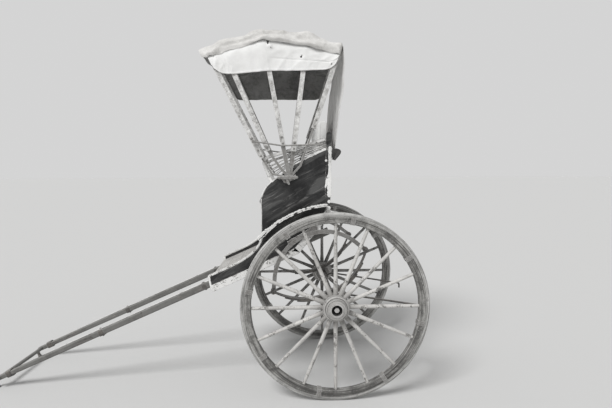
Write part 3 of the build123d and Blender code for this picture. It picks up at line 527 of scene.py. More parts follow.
def makeIron(name, look):
    graph, shader = newMaterial(name, {"Roughness": 0.5})
    place = graph.place()
    rust = graph.use(grime, vector=place, scale=22.0, amount=0.9)["Mask"]
    wear = graph.use(edgeWear, radius=0.003, gain=8.0, scale=70.0)["Mask"]
    settled = graph.use(dust, amount=0.45, scale=20.0)["Mask"]
    colour = graph.blend(rust, look["colour"], look["rust"])
    colour = graph.blend(wear, colour, look["bright"])
    graph.feed(shader["Base Color"], graph.blend(settled, colour, ironDust))
    graph.feed(shader["Roughness"], graph.plus(graph.times(rust, 0.35), 0.42))
    metal = graph.calc("SUBTRACT", 0.75, graph.times(rust, 0.7), True)
    graph.feed(shader["Metallic"], graph.calc("SUBTRACT", metal, settled, True))
    pits = graph.noise(place, 160.0, 4.0)
    graph.bump(shader, graph.plus(pits, rust), 0.5, 0.0006)


# Cloths. Threads is the weave's fineness, and the spots are worn through to the dark colour.
cloths = {
    "roofCanvas": {
        "light": (0.78, 0.77, 0.75), "dark": (0.34, 0.33, 0.31),
        "stain": 0.50, "threads": 3000.0, "rough": 0.92, "spotScale": 30.0, "spotLoss": 0.33,
    },
    "valanceCotton": {
        "light": (0.93, 0.93, 0.92), "dark": (0.62, 0.61, 0.59),
        "stain": 0.22, "threads": 4200.0, "rough": 0.88, "spotScale": 30.0, "spotLoss": 0.33,
    },
    # the rear flap's cotton is kept lighter, painted light where it hangs in the shade
    "flapCotton": {
        "light": (0.78, 0.775, 0.76), "dark": (0.50, 0.49, 0.475),
        "stain": 0.30, "threads": 4200.0, "rough": 0.90, "spotScale": 30.0, "spotLoss": 0.33,
    },
    # the hood cloth's inner faces: dark grey with darker spots, painted shade under the hood
    "liningShade": {
        "light": (0.30, 0.297, 0.29), "dark": (0.02, 0.02, 0.02),
        "stain": 0.65, "threads": 3400.0, "rough": 0.95, "spotScale": 52.0, "spotLoss": 0.37,
    },
    "padCotton": {
        "light": (0.90, 0.90, 0.89), "dark": (0.56, 0.55, 0.53),
        "stain": 0.25, "threads": 3600.0, "rough": 0.90, "spotScale": 30.0, "spotLoss": 0.33,
    },
    # the rag on the flap's corner: near black, painted shade
    "ragShade": {
        "light": (0.055, 0.054, 0.052), "dark": (0.015, 0.015, 0.015),
        "stain": 0.7, "threads": 3400.0, "rough": 0.95, "spotScale": 30.0, "spotLoss": 0.33,
    },
}


def makeCloth(name, look):
    feel = {"Roughness": look["rough"], "Sheen Weight": 0.15, "Sheen Roughness": 0.6}
    graph, shader = newMaterial(name, feel)
    place = graph.turned(graph.place(), -leanAngle)
    threads = graph.use(weave, vector=place, threads=look["threads"])
    stains = graph.use(grime, vector=place, scale=5.0, amount=look["stain"])
    spots = graph.use(paintLoss, vector=place, scale=look["spotScale"], loss=look["spotLoss"], edge=0.0)
    colour = graph.blend(stains["Mask"], look["light"], look["dark"])
    colour = graph.blend(graph.times(spots["Bare"], look["stain"]), colour, look["dark"])
    colour = graph.blend(graph.times(threads["Slub"], 0.16), colour, look["dark"])
    graph.feed(shader["Base Color"], colour)
    creases = graph.noise(place, 34.0, 5.0, 0.6, 1.2)
    height = graph.plus(graph.times(threads["Height"], 0.10), graph.times(creases, 0.9))
    graph.bump(shader, height, 0.55, 0.0022)


seatLeather = {
    "colour": (0.045, 0.045, 0.046),
    "rubbed": (0.17, 0.168, 0.165),
    "dust": (0.36, 0.355, 0.345),
    "grainScale": 420.0,
}


def makeLeather():
    shine = {"Roughness": 0.5, "Coat Weight": 0.12, "Coat Roughness": 0.35}
    graph, shader = newMaterial("seatLeather", shine)
    place = graph.place()
    grain = {"Vector": place, "Scale": seatLeather["grainScale"]}
    cells = graph.add("TexVoronoi", grain, feature="SMOOTH_F1")
    rub = graph.use(grime, vector=place, scale=6.0, amount=0.8)["Mask"]
    settled = graph.use(dust, amount=0.30, scale=9.0)["Mask"]
    cracks = graph.use(paintLoss, vector=place, scale=40.0, loss=0.35, edge=0.0)
    colour = graph.blend(rub, seatLeather["colour"], seatLeather["rubbed"])
    colour = graph.blend(graph.times(cracks["Bare"], 0.5), colour, seatLeather["rubbed"])
    graph.feed(shader["Base Color"], graph.blend(settled, colour, seatLeather["dust"]))
    graph.feed(shader["Roughness"], graph.plus(graph.times(rub, 0.25), 0.40))
    height = graph.calc("SUBTRACT", graph.times(cracks["Height"], 0.6), cells.outputs["Distance"])
    graph.bump(shader, height, 0.5, 0.0008)


for make, looks in (
    (makeTimber, timbers), (makeRoundFinish, wheelLooks), (makeIron, ironLooks),
    (makeCloth, cloths), (makeSpokePaint, spokeLooks),
):
    for finishName, finishLook in looks.items():
        make(finishName, finishLook)
makeLacquer()
makeLeather()
print("stage 3: materials")

# Finish of each CAD node by the start of its name: the first that fits is taken
nodeFinishes = (
    ("tyreRubber", ("tyre",)),
    ("rimTimber", ("felloe",)),
    ("spokeShaded", ("spokes_right",)),
    ("spokePaint", ("spokes",)),
    ("hoodIron", ("nave_bands", "hood_pivots", "front_irons", "middle_irons", "rear_irons", "stay", "hoop")),
    ("hubTimber", ("nave",)),
    ("shaftTimber", ("shaft", "crossbar", "bearers")),
    ("whiteTimber", ("sill", "armrests")),
    ("darkLacquer", ("rear_posts", "mudguards", "wall", "riser", "back_panel", "back_rails")),
    ("boardTimber", ("foot_floor", "seat_board", "box_bottom")),
    ("bowTimber", ("bow",)),
    ("brightIron", ("axle_nuts",)),
    ("blackIron", ("",)),
)
softNodes = ("canopy", "rear_flap", "seat_cushion", "back_cushion")
beveledNodes = (
    "sill", "rear_posts", "mudguards", "wall", "riser", "back_panel", "back_rails",
    "foot_floor", "seat_board", "box_bottom", "bow", "bearers",
)
edgeBevel = {"weld": 0.00002, "width": 0.0018, "segments": 2, "angleDegrees": 40}


def finishNodes():
    for name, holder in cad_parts.items():
        if name.startswith(softNodes):
            continue
        finish = next(label for label, starts in nodeFinishes if name.startswith(starts))
        for place in holder.material_slots:
            place.material = materials[finish]
        if name.startswith(beveledNodes):
            weld = holder.modifiers.new("weld", "WELD")
            weld.merge_threshold = edgeBevel["weld"]
            bevel = holder.modifiers.new("softEdges", "BEVEL")
            bevel.width = edgeBevel["width"]
            bevel.segments = edgeBevel["segments"]
            bevel.limit_method = "ANGLE"
            bevel.angle_limit = math.radians(edgeBevel["angleDegrees"])
            holder.modifiers.new("evenNormals", "WEIGHTED_NORMAL")


finishNodes()
print("stage 4: CAD nodes finished")


# Mesh helpers
def newPiece(name, points, faces, finish, smoothShade=True):
    mesh = bpy.data.meshes.new(name)
    mesh.from_pydata([tuple(point) for point in points], [], faces)
    made = bmesh.new()
    made.from_mesh(mesh)
    bmesh.ops.recalc_face_normals(made, faces=made.faces)
    made.to_mesh(mesh)
    made.free()
    for label in [finish] if isinstance(finish, str) else finish:
        mesh.materials.append(materials[label])
    mesh.polygons.foreach_set("use_smooth", [smoothShade] * len(mesh.polygons))
    piece = bpy.data.objects.new(name, mesh)
    bpy.context.collection.objects.link(piece)
    return piece


def gridFaces(rows, columns):
    firsts = [row * columns + column for row in range(rows - 1) for column in range(columns - 1)]
    return [(a, a + 1, a + columns + 1, a + columns) for a in firsts]


def gridArea(points, columns):
    total = 0.0
    for a, b, c, d in gridFaces(len(points) // columns, columns):
        total += (points[c] - points[a]).cross(points[d] - points[b]).length / 2
    return total


def tubeFaces(base, loops, count, ring=False):
    # faces between loops of count points from base on; both ends are closed unless it is a ring
    faces = []
    for loop in range(loops if ring else loops - 1):
        for corner in range(count):
            nextLoop, nextCorner = (loop + 1) % loops, (corner + 1) % count
            corners = ((loop, corner), (loop, nextCorner), (nextLoop, nextCorner), (nextLoop, corner))
            faces.append(tuple(base + a * count + b for a, b in corners))
    if not ring:
        faces += [tuple(range(start, start + count)) for start in (base, base + (loops - 1) * count)]
    return faces


def bakeModifiers(piece):
    bpy.context.view_layer.update()
    seen = piece.evaluated_get(bpy.context.evaluated_depsgraph_get())
    mesh = bpy.data.meshes.new_from_object(seen)
    piece.modifiers.clear()
    piece.data = mesh


def bakeThickness(piece, thickness, offset, materialOffset=0):
    solid = piece.modifiers.new("thickness", "SOLIDIFY")
    solid.thickness = thickness
    solid.offset = offset
    solid.material_offset = materialOffset
    bakeModifiers(piece)


def surfaceTree(piece):
    corners = [vertex.co.copy() for vertex in piece.data.vertices]
    return BVHTree.FromPolygons(corners, [tuple(face.vertices) for face in piece.data.polygons])


def ripple(x, y, z):
    return noise.noise(Vector((x, y, z)))


def wayAt(path, index):
    return (path[min(index + 1, len(path) - 1)] - path[max(index - 1, 0)]).normalized()


def smoothPath(places, y, rounds=2):
    # places are (forward, up) pairs, and each round cuts the path's corners
    path = [level(x, y, z) for x, z in places]
    for _ in range(rounds):
        finer = [path[0]]
        for a, b in zip(path, path[1:]):
            finer += [a.lerp(b, 0.25), a.lerp(b, 0.75)]
        finer.append(path[-1])
        path = finer
    return path


def cutPath(path, spacing):
    # the same path in even steps of about that length
    lengths = [0.0]
    for a, b in zip(path, path[1:]):
        lengths.append(lengths[-1] + (b - a).length)
    steps = max(int(lengths[-1] / spacing), 2)
    even, index = [], 0
    for step in range(steps + 1):
        goal = lengths[-1] * step / steps
        while index < len(path) - 2 and lengths[index + 1] < goal:
            index += 1
        share = (goal - lengths[index]) / max(lengths[index + 1] - lengths[index], 1e-9)
        even.append(path[index].lerp(path[index + 1], min(share, 1.0)))
    return even


def roundSection(width, height, rounding=0.35, steps=3):
    # rounded rectangle of (off, sideways) pairs
    radius = min(width, height) * rounding
    section = []
    for turn, (a, b) in enumerate(((1, 1), (-1, 1), (-1, -1), (1, -1))):
        for step in range(steps + 1):
            angle = math.radians(90 * turn + 90 * step / steps)
            off = a * (height / 2 - radius) + radius * math.cos(angle)
            section.append((off, b * (width / 2 - radius) + radius * math.sin(angle)))
    return section


def bandAlong(name, path, section, finish):
    # section holds (off the path, sideways) pairs in metres
    points = []
    for index, place in enumerate(path):
        off = wayAt(path, index).cross(lateral)
        points += [place + off * a + lateral * b for a, b in section]
    return newPiece(name, points, tubeFaces(0, len(path), len(section)), finish, False)


def widthAt(widths, share):
    for (start, wide), (end, nextWide) in zip(widths, widths[1:]):
        if share <= end:
            return mix(wide, nextWide, (share - start) / (end - start))
    return widths[-1][1]


def keptRuns(total, gaps):
    # the stretches of a path that lie outside the gaps, as lists of its points' numbers
    runs = [[]]
    for index in range(total + 1):
        if any(low < index / total < high for low, high in gaps):
            runs.append([])
        else:
            runs[-1].append(index)
    return [run for run in runs if len(run) > 2]


# Chipped edges: how far the strips narrow at their ends, and the fineness of the chips on each edge
chipping = {
    "endShare": 0.45, "endLength": 0.006, "fineShare": 0.7, "above": (70, 190, 0), "below": (80, 170, 7),
}


def chipNoise(place, edge):
    coarse, fine, shift = chipping[edge]
    broad = noise.noise(place * coarse + Vector((shift, 0, 0)))
    return broad + chipping["fineShare"] * noise.noise(place * fine)


def raggedBand(name, path, side, widths, thickness, chips, finish, gaps=(), spacing=0.004, lying=False):
    # a strip with chipped edges, in metres; widths holds (share of its length, width) pairs, and
    # gaps holds the stretches that are missing
    path = cutPath(path, spacing)
    total = len(path) - 1
    points, faces = [], []
    for run in keptRuns(total, gaps):
        base = len(points)
        for index in run:
            place = path[index]
            off = wayAt(path, index).cross(lateral)
            nearEnd = min(index - run[0], run[-1] - index) * spacing
            narrow = mix(chipping["endShare"], 1.0, smooth(nearEnd, 0, chipping["endLength"]))
            half = widthAt(widths, index / total) / 2 * narrow
            up = half * (1 + chips * chipNoise(place, "above"))
            down = half * (1 + chips * chipNoise(place, "below"))
            section = ((up, 0.1), (up * 0.7, 1.0), (-down * 0.7, 1.0), (-down, 0.1), (-down, -1), (up, -1))
            for a, b in section:
                if lying:
                    points.append(place + lateral * a + off * (b * thickness / 2))
                else:
                    points.append(place + off * a + lateral * (side * b * thickness / 2))
        faces += tubeFaces(base, len(run), 6)
    piece = newPiece(name, points, faces, finish, False)
    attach(piece, "carriage")
    return piece


def rods(name, body, runs, radius, finish, steps=8):
    # round bars along each run of points, which lies in a side view
    points, faces = [], []
    for run in runs:
        base = len(points)
        for index, place in enumerate(run):
            ahead = wayAt(run, index)
            across = ahead.cross(lateral).normalized()
            other = ahead.cross(across)
            for step in range(steps):
                angle = math.tau * step / steps
                points.append(place + (across * math.cos(angle) + other * math.sin(angle)) * radius)
        faces += tubeFaces(base, len(run), steps)
    piece = newPiece(name, points, faces, finish)
    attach(piece, body)
    return piece


def wheelPoint(side, turn, radius, off):
    # off is sideways out from the middle of the wheel; turn is from straight ahead, upward
    angle = math.radians(turn)
    out = side * (carriage["halfTrack"] + off)
    return axleCentre + Vector((math.cos(angle) * radius / 1000, out / 1000, math.sin(angle) * radius / 1000))


def turnedRings(name, body, side, profiles, finish, steps=72):
    # each profile is a closed loop of (radius, off) pairs, turned round the axle
    points, faces = [], []
    for profile in profiles:
        base = len(points)
        for step in range(steps):
            points += [wheelPoint(side, 360 * step / steps, radius, off) for radius, off in profile]
        faces += tubeFaces(base, steps, len(profile), True)
    piece = newPiece(name, points, faces, finish)
    piece.data.set_sharp_from_angle(angle=math.radians(50))
    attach(piece, body)
    return piece


def beadLoop(radius, off, size, count=8):
    angles = [math.tau * step / count for step in range(count)]
    return [(radius + size * math.cos(angle), off + size * math.sin(angle)) for angle in angles]


# Rings of a bolt's or nail's head, as shares of its radius and height
headRings = {
    "flat": ((1.0, -0.3), (1.0, 0.55), (0.82, 1.0)),
    "domed": ((1.0, -0.3), (1.0, 0.2), (0.86, 0.62), (0.55, 0.92), (0.2, 1.0)),
}


def boltHeads(name, body, places, radius, height, finish, corners=6, domed=False):
    # places holds (centre, direction) pairs
    rings = headRings["domed" if domed else "flat"]
    points, faces = [], []
    for index, (centre, way) in enumerate(places):
        way = way.normalized()
        across = way.orthogonal().normalized()
        other = way.cross(across)
        spin = random.Random(index).random() * math.tau
        base = len(points)
        for scale, rise in rings:
            for corner in range(corners):
                angle = spin + math.tau * corner / corners
                flat = across * math.cos(angle) + other * math.sin(angle)
                points.append(centre + flat * (radius * scale) + way * (height * rise))
        faces += tubeFaces(base, len(rings), corners)
    piece = newPiece(name, points, faces, finish, domed)
    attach(piece, body)
    return piece


# Hood cloth. Each bow: the top of its hoop, the foot of its legs, half its width outside the legs,
# how far the seam lies below the crown, how deep the side cloth hangs left and right, and how thick
# the worn roof padding stands on it. A pitch is the cloth's length for one step past the end bows.
hood = {
    "shoulder": 125,
    "lift": 6,
    "bows": (
        {
            "top": (79, 1678), "foot": (40, 958), "half": 387, "seam": 64,
            "left": 174, "right": 201, "pad": 7,
        },
        {
            "top": (-12, 1682), "foot": (-12, 984), "half": 387, "seam": 75,
            "left": 216, "right": 240, "pad": 6,
        },
        {
            "top": (-265, 1647), "foot": (-104, 975), "half": 381, "seam": 68,
            "left": 250, "right": 290, "pad": 12,
        },
        {
            "top": (-508, 1524), "foot": (-147, 922), "half": 375, "seam": 86,
            "left": 230, "right": 276, "pad": 14,
        },
        {
            "top": (-659, 1380.6), "foot": (-310, 997), "half": 375, "seam": 62,
            "left": 158, "right": 214, "pad": 15,
        },
    ),
    "frontPitch": 91,
    "rearPitch": 208,
    "frontOverhang": 44,
    "rearOverhang": 15,
    "rightWornBack": 46,
    "roofSag": 6,
    "sideSag": 4,
    "folds": 26.0,
    "crumple": 2.2,
    "evening": 6,
    "hemRoll": 6.0,
    "roofRows": 42,
    "roofColumns": 84,
    "sideRows": 60,
    "sideColumns": 48,
    "frontCorner": 58,
    "frontCornerSpan": 0.62,
    "rearCorner": 58,
    "rearCornerSpan": 0.30,
    "thickness": 0.0026,
    "blendGap": 16,
    "foldMiddle": (-200, 1150),
}
clothEnds = {
    "front": -hood["frontOverhang"] / hood["frontPitch"],
    "middle": 2.0,
    "rear": 4 + hood["rearOverhang"] / hood["rearPitch"],
    "lap": 0.03,
}


def bowSpan(s):
    # s counts bows: 0 is the first and 4 the last; below 0 and above 4 is the overhang
    bows = hood["bows"]
    index = min(max(int(math.floor(s)), 0), len(bows) - 2)
    return bows[index], bows[index + 1], s - index


def bowValue(s, key):
    a, b, t = bowSpan(s)
    return mix(a[key], b[key], min(max(t, 0.0), 1.0))


def clothHalf(s):
    return bowValue(s, "half") + hood["lift"]


def legWay(bow):
    return Vector((bow["top"][0] - bow["foot"][0], bow["top"][1] - bow["foot"][1])).normalized()


def overSection(distance, half):
    # sideways reach, rise and facing angle at that distance from the crown along the cloth
    radius = hood["shoulder"]
    flat = half - radius
    arc = math.pi / 2 * radius
    if distance <= flat:
        return distance, 0.0, math.pi / 2
    if distance <= flat + arc:
        angle = (distance - flat) / radius
        return flat + radius * math.sin(angle), radius * (math.cos(angle) - 1), math.pi / 2 - angle
    return half, -radius - (distance - flat - arc), 0.0


def distanceForDrop(drop, half):
    radius = hood["shoulder"]
    flat = half - radius
    if drop < radius:
        return flat + radius * math.acos(1 - drop / radius)
    return flat + math.pi / 2 * radius + drop - radius


def clothPoint(s, distance, side, off=0.0):
    # distance is measured from the crown; off is outward from the cloth, in mm
    a, b, t = bowSpan(s)
    across, rise, facing = overSection(distance, clothHalf(s))
    lifted = rise + hood["lift"] * math.sin(facing)
    places = [Vector(bow["top"]) + legWay(bow) * lifted for bow in (a, b)]
    flat = places[0].lerp(places[1], t)
    run = (places[0] - places[1]).normalized()
    outward = Vector((-run.y, run.x))
    between = 4 * t * (1 - t) if 0 < t < 1 else 0.0
    push = off - between * mix(hood["sideSag"], hood["roofSag"], math.sin(facing))
    flat = flat + outward * (push * math.sin(facing))
    return level(flat.x, side * (across + push * math.cos(facing)), flat.y)


def runLength(s):
    # how far along the roof that place lies behind the first bow, in mm
    bows = hood["bows"]
    length = min(s, 0.0) * hood["frontPitch"]
    for index in range(len(bows) - 1):
        span = (Vector(bows[index + 1]["top"]) - Vector(bows[index]["top"])).length
        length += span * min(max(s - index, 0.0), 1.0)
    return length + max(s - len(bows) + 1, 0.0) * hood["rearPitch"]


def softRidge(x, y, z):
    return math.exp(-((ripple(x, y, z) * 4.2) ** 2))


def roofRelief(s, distance, side, reach):
    # long folds that run with the seam and gather towards it, and soft crumples all over
    near = smooth(distance / reach, 0.25, 0.80)
    along = runLength(s)
    turn = ripple(along * 0.006, distance * 0.007, 4.0 * side)
    across = (distance + 0.16 * along) * 0.015 + turn * 0.7
    fold = softRidge(along * 0.0030, across, 2.0 + side)
    second = softRidge(along * 0.0048 + 7, across * 1.7 - turn, 5.0 + side)
    cross = softRidge(along * 0.011 + 3, across * 0.6, 11.0 + side)
    small = ripple(along * 0.018, distance * 0.034, 9.0 + side)
    folds = hood["folds"] * (0.22 + 0.78 * near) * (fold * 0.62 + second * 0.44 + cross * 0.14 - 0.48)
    return folds + hood["crumple"] * small


def makeRoof(name, first, last):
    # the thick worn cloth over the bows, from the seam on one side to the seam on the other
    rows = int((last - first) * hood["roofRows"]) + 1
    halfColumns = hood["roofColumns"]
    wornBack = hood["rightWornBack"] / hood["frontPitch"] if first < 0 else 0.0
    points = []
    for row in range(rows):
        for column in range(-halfColumns, halfColumns + 1):
            side = 1 if column >= 0 else -1
            start = first + wornBack * smooth(-column / halfColumns, -0.1, 0.75)
            s = mix(start, last, row / (rows - 1))
            ragged = 5 * ripple(s * 3.1, 0.3, 5.0 + side) + 2.5 * ripple(s * 11.0, 0.3, 5.0 + side)
            seam = bowValue(s, "seam") + 8 + ragged - 16 * smooth(-s, 0.1, 0.5)
            reach = distanceForDrop(seam, clothHalf(s))
            edge = abs(column) / halfColumns
            distance = edge * reach
            relief = roofRelief(s, distance, side, reach)
            out = relief * smooth(abs(column), 0, 5) + bowValue(s, "pad")
            roll = hood["hemRoll"] * smooth(edge, 0.90, 0.96) * (1 - smooth(edge, 0.985, 1.0))
            out = max(out + roll, 8.5) * (1 - 0.55 * smooth(edge, 0.975, 1.0))
            out = mix(out, 3.0, 0.85 * smooth(s, 4.015, clothEnds["rear"]))
            points.append(clothPoint(s, distance, side, out))
    columns = 2 * halfColumns + 1
    piece = newPiece(name, points, gridFaces(rows, columns), ("roofCanvas", "liningShade"))
    return piece, sum((b - a).length for a, b in zip(points[:columns], points[1:columns]))


# Wear of the side cloth: a tear under the seam behind the third bow, a blister beside it, and small
# holes, given by place along the bows, depth below the cloth's start and radius
clothWear = {
    "tear": {"s": 2.07, "wide": 24, "deep": 56},
    "blister": {"s": 2.13, "below": 52, "wide": 0.056, "deep": 12, "height": 8},
    "holes": ((2.90, 82, 6.5), (2.92, 71, 3.6), (3.90, 84, 5.5), (2.15, 60, 4.5)),
    "creaseHeight": 0.62,
    "pitch": 262,
    "cell": 4.5,
    "far": 99.0,
}


def wornGap(s, below, side):
    # how far outside a tear or hole that place lies, in mm; below zero inside it
    if side < 0 or s < 2:
        return clothWear["far"]
    tear, pitch = clothWear["tear"], clothWear["pitch"]
    gaps = [math.hypot((s - at) * pitch, below - deep) - radius for at, deep, radius in clothWear["holes"]]
    along = (s - tear["s"]) * pitch
    right = along + below * tear["wide"] / tear["deep"] - tear["wide"]
    gaps.append(max(-along - 1.5 * math.sin(below * 0.4), right * 0.9, below - tear["deep"]))
    return min(gaps)


def onWornEdge(s, below, side):
    # move a grid point that lies just inside a gap out to its edge
    gap = wornGap(s, below, side)
    if gap >= 0 or gap < -clothWear["cell"]:
        return s, below
    step, pitch = 0.5, clothWear["pitch"]
    alongSlope = wornGap(s + step / pitch, below, side) - wornGap(s - step / pitch, below, side)
    slope = Vector((alongSlope, wornGap(s, below + step, side) - wornGap(s, below - step, side)))
    if slope.length < 1e-6:
        return s, below
    slope.normalize()
    return s - slope.x * gap / pitch, below - slope.y * gap


def cornerCut(reach, span):
    # share of a rounded corner's depth that is cut away at that reach from the cloth's end
    share = min(max(reach, 0.0) / span, 1.0)
    return 1 - math.sqrt(1 - (1 - share) ** 2)


def valanceRelief(s, t, below, side):
    swell = 4.0 * ripple(s * 1.6, t * 1.2, 2.0 + side)
    fold = 4.0 * t * ripple(s * 6.0, t * 0.8, 9.0 + side)
    fold += 2.6 * softRidge(s * 2.1 + t * 1.3, t * 1.7, 6.0 + side)
    crease = 2.2 * smooth(abs(t - clothWear["creaseHeight"]), 0.05, 0.0) * smooth(s, 1.9, 2.3)
    hem = 2.2 * smooth(t, 0.93, 0.97) * (1 - smooth(t, 0.985, 1.0))
    blister = 0.0
    if side > 0:
        look = clothWear["blister"]
        along, down = (s - look["s"]) / look["wide"], (below - look["below"]) / look["deep"]
        blister = look["height"] * math.exp(-(along**2) - down**2)
    return swell + fold - crease + hem + blister


def makeValance(name, first, last, side):
    # smooth white side cloth, hanging from under the seam
    rows = int((last - first) * hood["sideRows"]) + 1
    columns = hood["sideColumns"]
    deep = "left" if side > 0 else "right"
    points, gaps = [], []
    for row in range(rows):
        rowPlace = mix(first, last, row / (rows - 1))
        start = distanceForDrop(bowValue(rowPlace, "seam") - 12, clothHalf(rowPlace))
        corner = 0.0
        if first < 0:
            corner += hood["frontCorner"] * cornerCut(rowPlace - first, hood["frontCornerSpan"])
        if last > 3:
            corner += hood["rearCorner"] * cornerCut(last - rowPlace, hood["rearCornerSpan"])
        hang = bowValue(rowPlace, deep) - corner + 2.5 * ripple(rowPlace * 4.0, side, 0)
        end = distanceForDrop(hang, clothHalf(rowPlace))
        for column in range(columns):
            t = column / (columns - 1)
            below = mix(start, end, t) - start
            gaps.append(wornGap(rowPlace, below, side))
            s, below = onWornEdge(rowPlace, below, side)
            points.append(clothPoint(s, start + below, side, valanceRelief(s, t, below, side)))
    faces = []
    for face in gridFaces(rows, columns):
        around = [gaps[corner] for corner in face]
        if sum(around) > 0 or max(around) > 1.5:
            faces.append(face)
    piece = newPiece(name, points, faces, ("valanceCotton", "liningShade"))
    length = sum((points[(row + 1) * columns] - points[row * columns]).length for row in range(rows - 1))
    return piece, (length, gridArea(points, columns) / length)


def turnOutward(piece):
    # make the faces look away from the middle of the hood
    x, z = hood["foldMiddle"]
    middle = level(x, 0, z)
    outward = [(face.center - middle).dot(face.normal) > 0 for face in piece.data.polygons]
    if sum(outward) * 2 < len(outward):
        piece.data.flip_normals()


def thicken(piece, evening=0):
    # the outer face keeps the first material and the inner face gets the second, the dark painted shade of
    # the cloth's underside
    even = piece.modifiers.new("even", "SMOOTH")
    even.factor = 0.5
    even.iterations = evening
    bakeThickness(piece, hood["thickness"], -1, 1)
    piece.data.set_sharp_from_angle(angle=math.radians(62))


# Each half of the hood's cloth: its reach, how much shorter its side cloths are at each end, its bodies, and
# the bows between which the one body gives way to the other
hoodSplits = (
    {
        "label": "Front", "first": clothEnds["front"], "last": clothEnds["middle"] + clothEnds["lap"],
        "sideFirst": 0.34, "sideLast": 0.0, "bodies": ("hood_front", "hood_middle"), "from": 1, "to": 2,
    },
    {
        "label": "Rear", "first": clothEnds["middle"], "last": clothEnds["rear"],
        "sideFirst": 0.02, "sideLast": 0.03, "bodies": ("hood_middle", "hood_rear"), "from": 2, "to": 3,
    },
)


def blendOver(piece):
    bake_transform(piece)


def makeHoodCloth():
    for split in hoodSplits:
        label = split["label"]
        roof, width = makeRoof(f"roofCloth{label}", split["first"], split["last"])
        turnOutward(roof)
        thicken(roof, hood["evening"])
        flat = (width, sum(face.area for face in roof.data.polygons) / 2 / width)
        blendOver(roof)
        if label == "Front":
            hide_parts("canopy_front", "canopy_front_fold")
        else:
            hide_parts("canopy_rear", "canopy_rear_fold")
        first, last = split["first"] + split["sideFirst"], split["last"] - split["sideLast"]
        for sideName, side in sides:
            valance, flat = makeValance(f"valance{label}{sideName.title()}", first, last, side)
            turnOutward(valance)
            thicken(valance)
            blendOver(valance)


makeHoodCloth()
print("stage 5: hood cloth")

# Rear flap: hangs from the last bow, laps outside the back panel and ends in scallops. T runs down it
# and u across it.
rearFlap = {
    "top": (-668, 1366),
    "bottom": (-362, 806),
    "half": 376,
    "bottomHalf": 352,
    "rows": 84,
    "columns": 110,
    "lap": 28,
    "billow": 17,
    "bulge": {"t": 0.43, "spread": 0.10, "height": 9},
    "notch": {"t": 0.585, "spread": 0.032, "u": 0.93},
    "pullIn": 9,
    "scallops": 9,
    "scallopDepth": 16,
    "thickness": 0.002,
    "blendHeights": (850, 1320),
}


def flapReach(t, u, drop):
    # half the flap's width, rounded like the bow at its top
    below, radius = drop + rearFlap["lap"], hood["shoulder"]
    reach = mix(rearFlap["half"], rearFlap["bottomHalf"], smooth(t, 0.2, 1.0))
    if below < radius:
        reach = reach - radius + math.sqrt(max(radius**2 - (radius - below - 4) ** 2, 0))
    return reach - rearFlap["pullIn"] * smooth(t, 0.60, 0.66) * smooth(u, 0.8, 1.0)


def flapRelief(t, u, drop):
    phase = u * 8.5 + 1.3 * ripple(u * 3, t * 1.5, 0)
    pleat = rearFlap["billow"] * (0.6 - 1.6 * (1 - abs(math.sin(phase))) ** 2)
    pleat *= 0.25 + 0.75 * math.sin(math.pi * min(t * 1.1, 1))
    soft = 8 * ripple(u * 2.4, t * 3.0, 6.0)
    out = (pleat * 0.55 + soft) * smooth(t, 0.04, 0.22) * (1 - 0.7 * smooth(t, 0.82, 1.0))
    out += 3 - 15 * smooth(-drop / rearFlap["lap"], 0, 1) ** 2
    bulge = rearFlap["bulge"]
    hump = math.exp(-(((t - bulge["t"]) / bulge["spread"]) ** 2)) * smooth(u, 0.6, 1.0)
    return out + bulge["height"] * hump


def inNotch(t, u):
    # the ragged notch worn into the left edge
    notch = rearFlap["notch"]
    ragged = u - notch["u"] + 0.02 * ripple(t * 60, u * 30, 0)
    return ragged > (1 - notch["u"]) * abs(t - notch["t"]) / notch["spread"]


def makeRearFlap():
    rows, columns = rearFlap["rows"], rearFlap["columns"]
    top, bottom = Vector(rearFlap["top"]), Vector(rearFlap["bottom"])
    run = (bottom - top).length
    way = (bottom - top).normalized()
    back = Vector((way.y, -way.x))  # off the flap, to the rear
    points, worn = [], []
    for row in range(rows):
        t = row / (rows - 1)
        drop = t * (run + rearFlap["lap"]) - rearFlap["lap"]
        for column in range(columns):
            u = column / (columns - 1) * 2 - 1
            scallop = abs(math.sin(math.pi * rearFlap["scallops"] * (u + 1) / 2)) * smooth(t, 0.86, 1.0)
            flat = top + way * (drop + rearFlap["scallopDepth"] * scallop) + back * flapRelief(t, u, drop)
            points.append(level(flat.x, u * flapReach(t, u, drop), flat.y))
            worn.append(inNotch(t, u))
    faces = [face for face in gridFaces(rows, columns) if not all(worn[corner] for corner in face)]
    piece = newPiece("rearFlapCloth", points, faces, ("flapCotton", "flapCotton"))
    bakeThickness(piece, rearFlap["thickness"], 0)
    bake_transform(piece)
    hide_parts("rear_flap")


makeRearFlap()

# Rag caught on the left rear corner, where it hangs outside the post; its near-black colour is painted shade
rag = {"top": (-366, 846), "wide": 52, "deep": 62, "out": 357, "rows": 18, "columns": 16, "thickness": 0.0018}


def makeRag():
    points = []
    for row in range(rag["rows"]):
        v = row / (rag["rows"] - 1)
        wide = rag["wide"] * (0.25 + 0.75 * math.sin(math.pi * min(v * 0.95 + 0.08, 1)))
        hang = v * rag["deep"]
        for column in range(rag["columns"]):
            u = column / (rag["columns"] - 1)
            wave = 4 * math.sin(u * 7 + v * 3) + 3 * ripple(u * 3, v * 3, 1)
            x, z = rag["top"][0] - u * wide + hang * 0.42, rag["top"][1] - hang - 12 * u
            points.append(level(x, rag["out"] + wave * (0.3 + v), z))
    piece = newPiece("cornerRag", points, gridFaces(rag["rows"], rag["columns"]), ("ragShade", "ragShade"))
    bakeThickness(piece, rag["thickness"], 0)
    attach(piece, "carriage")


makeRag()
print("stage 6: rear flap")

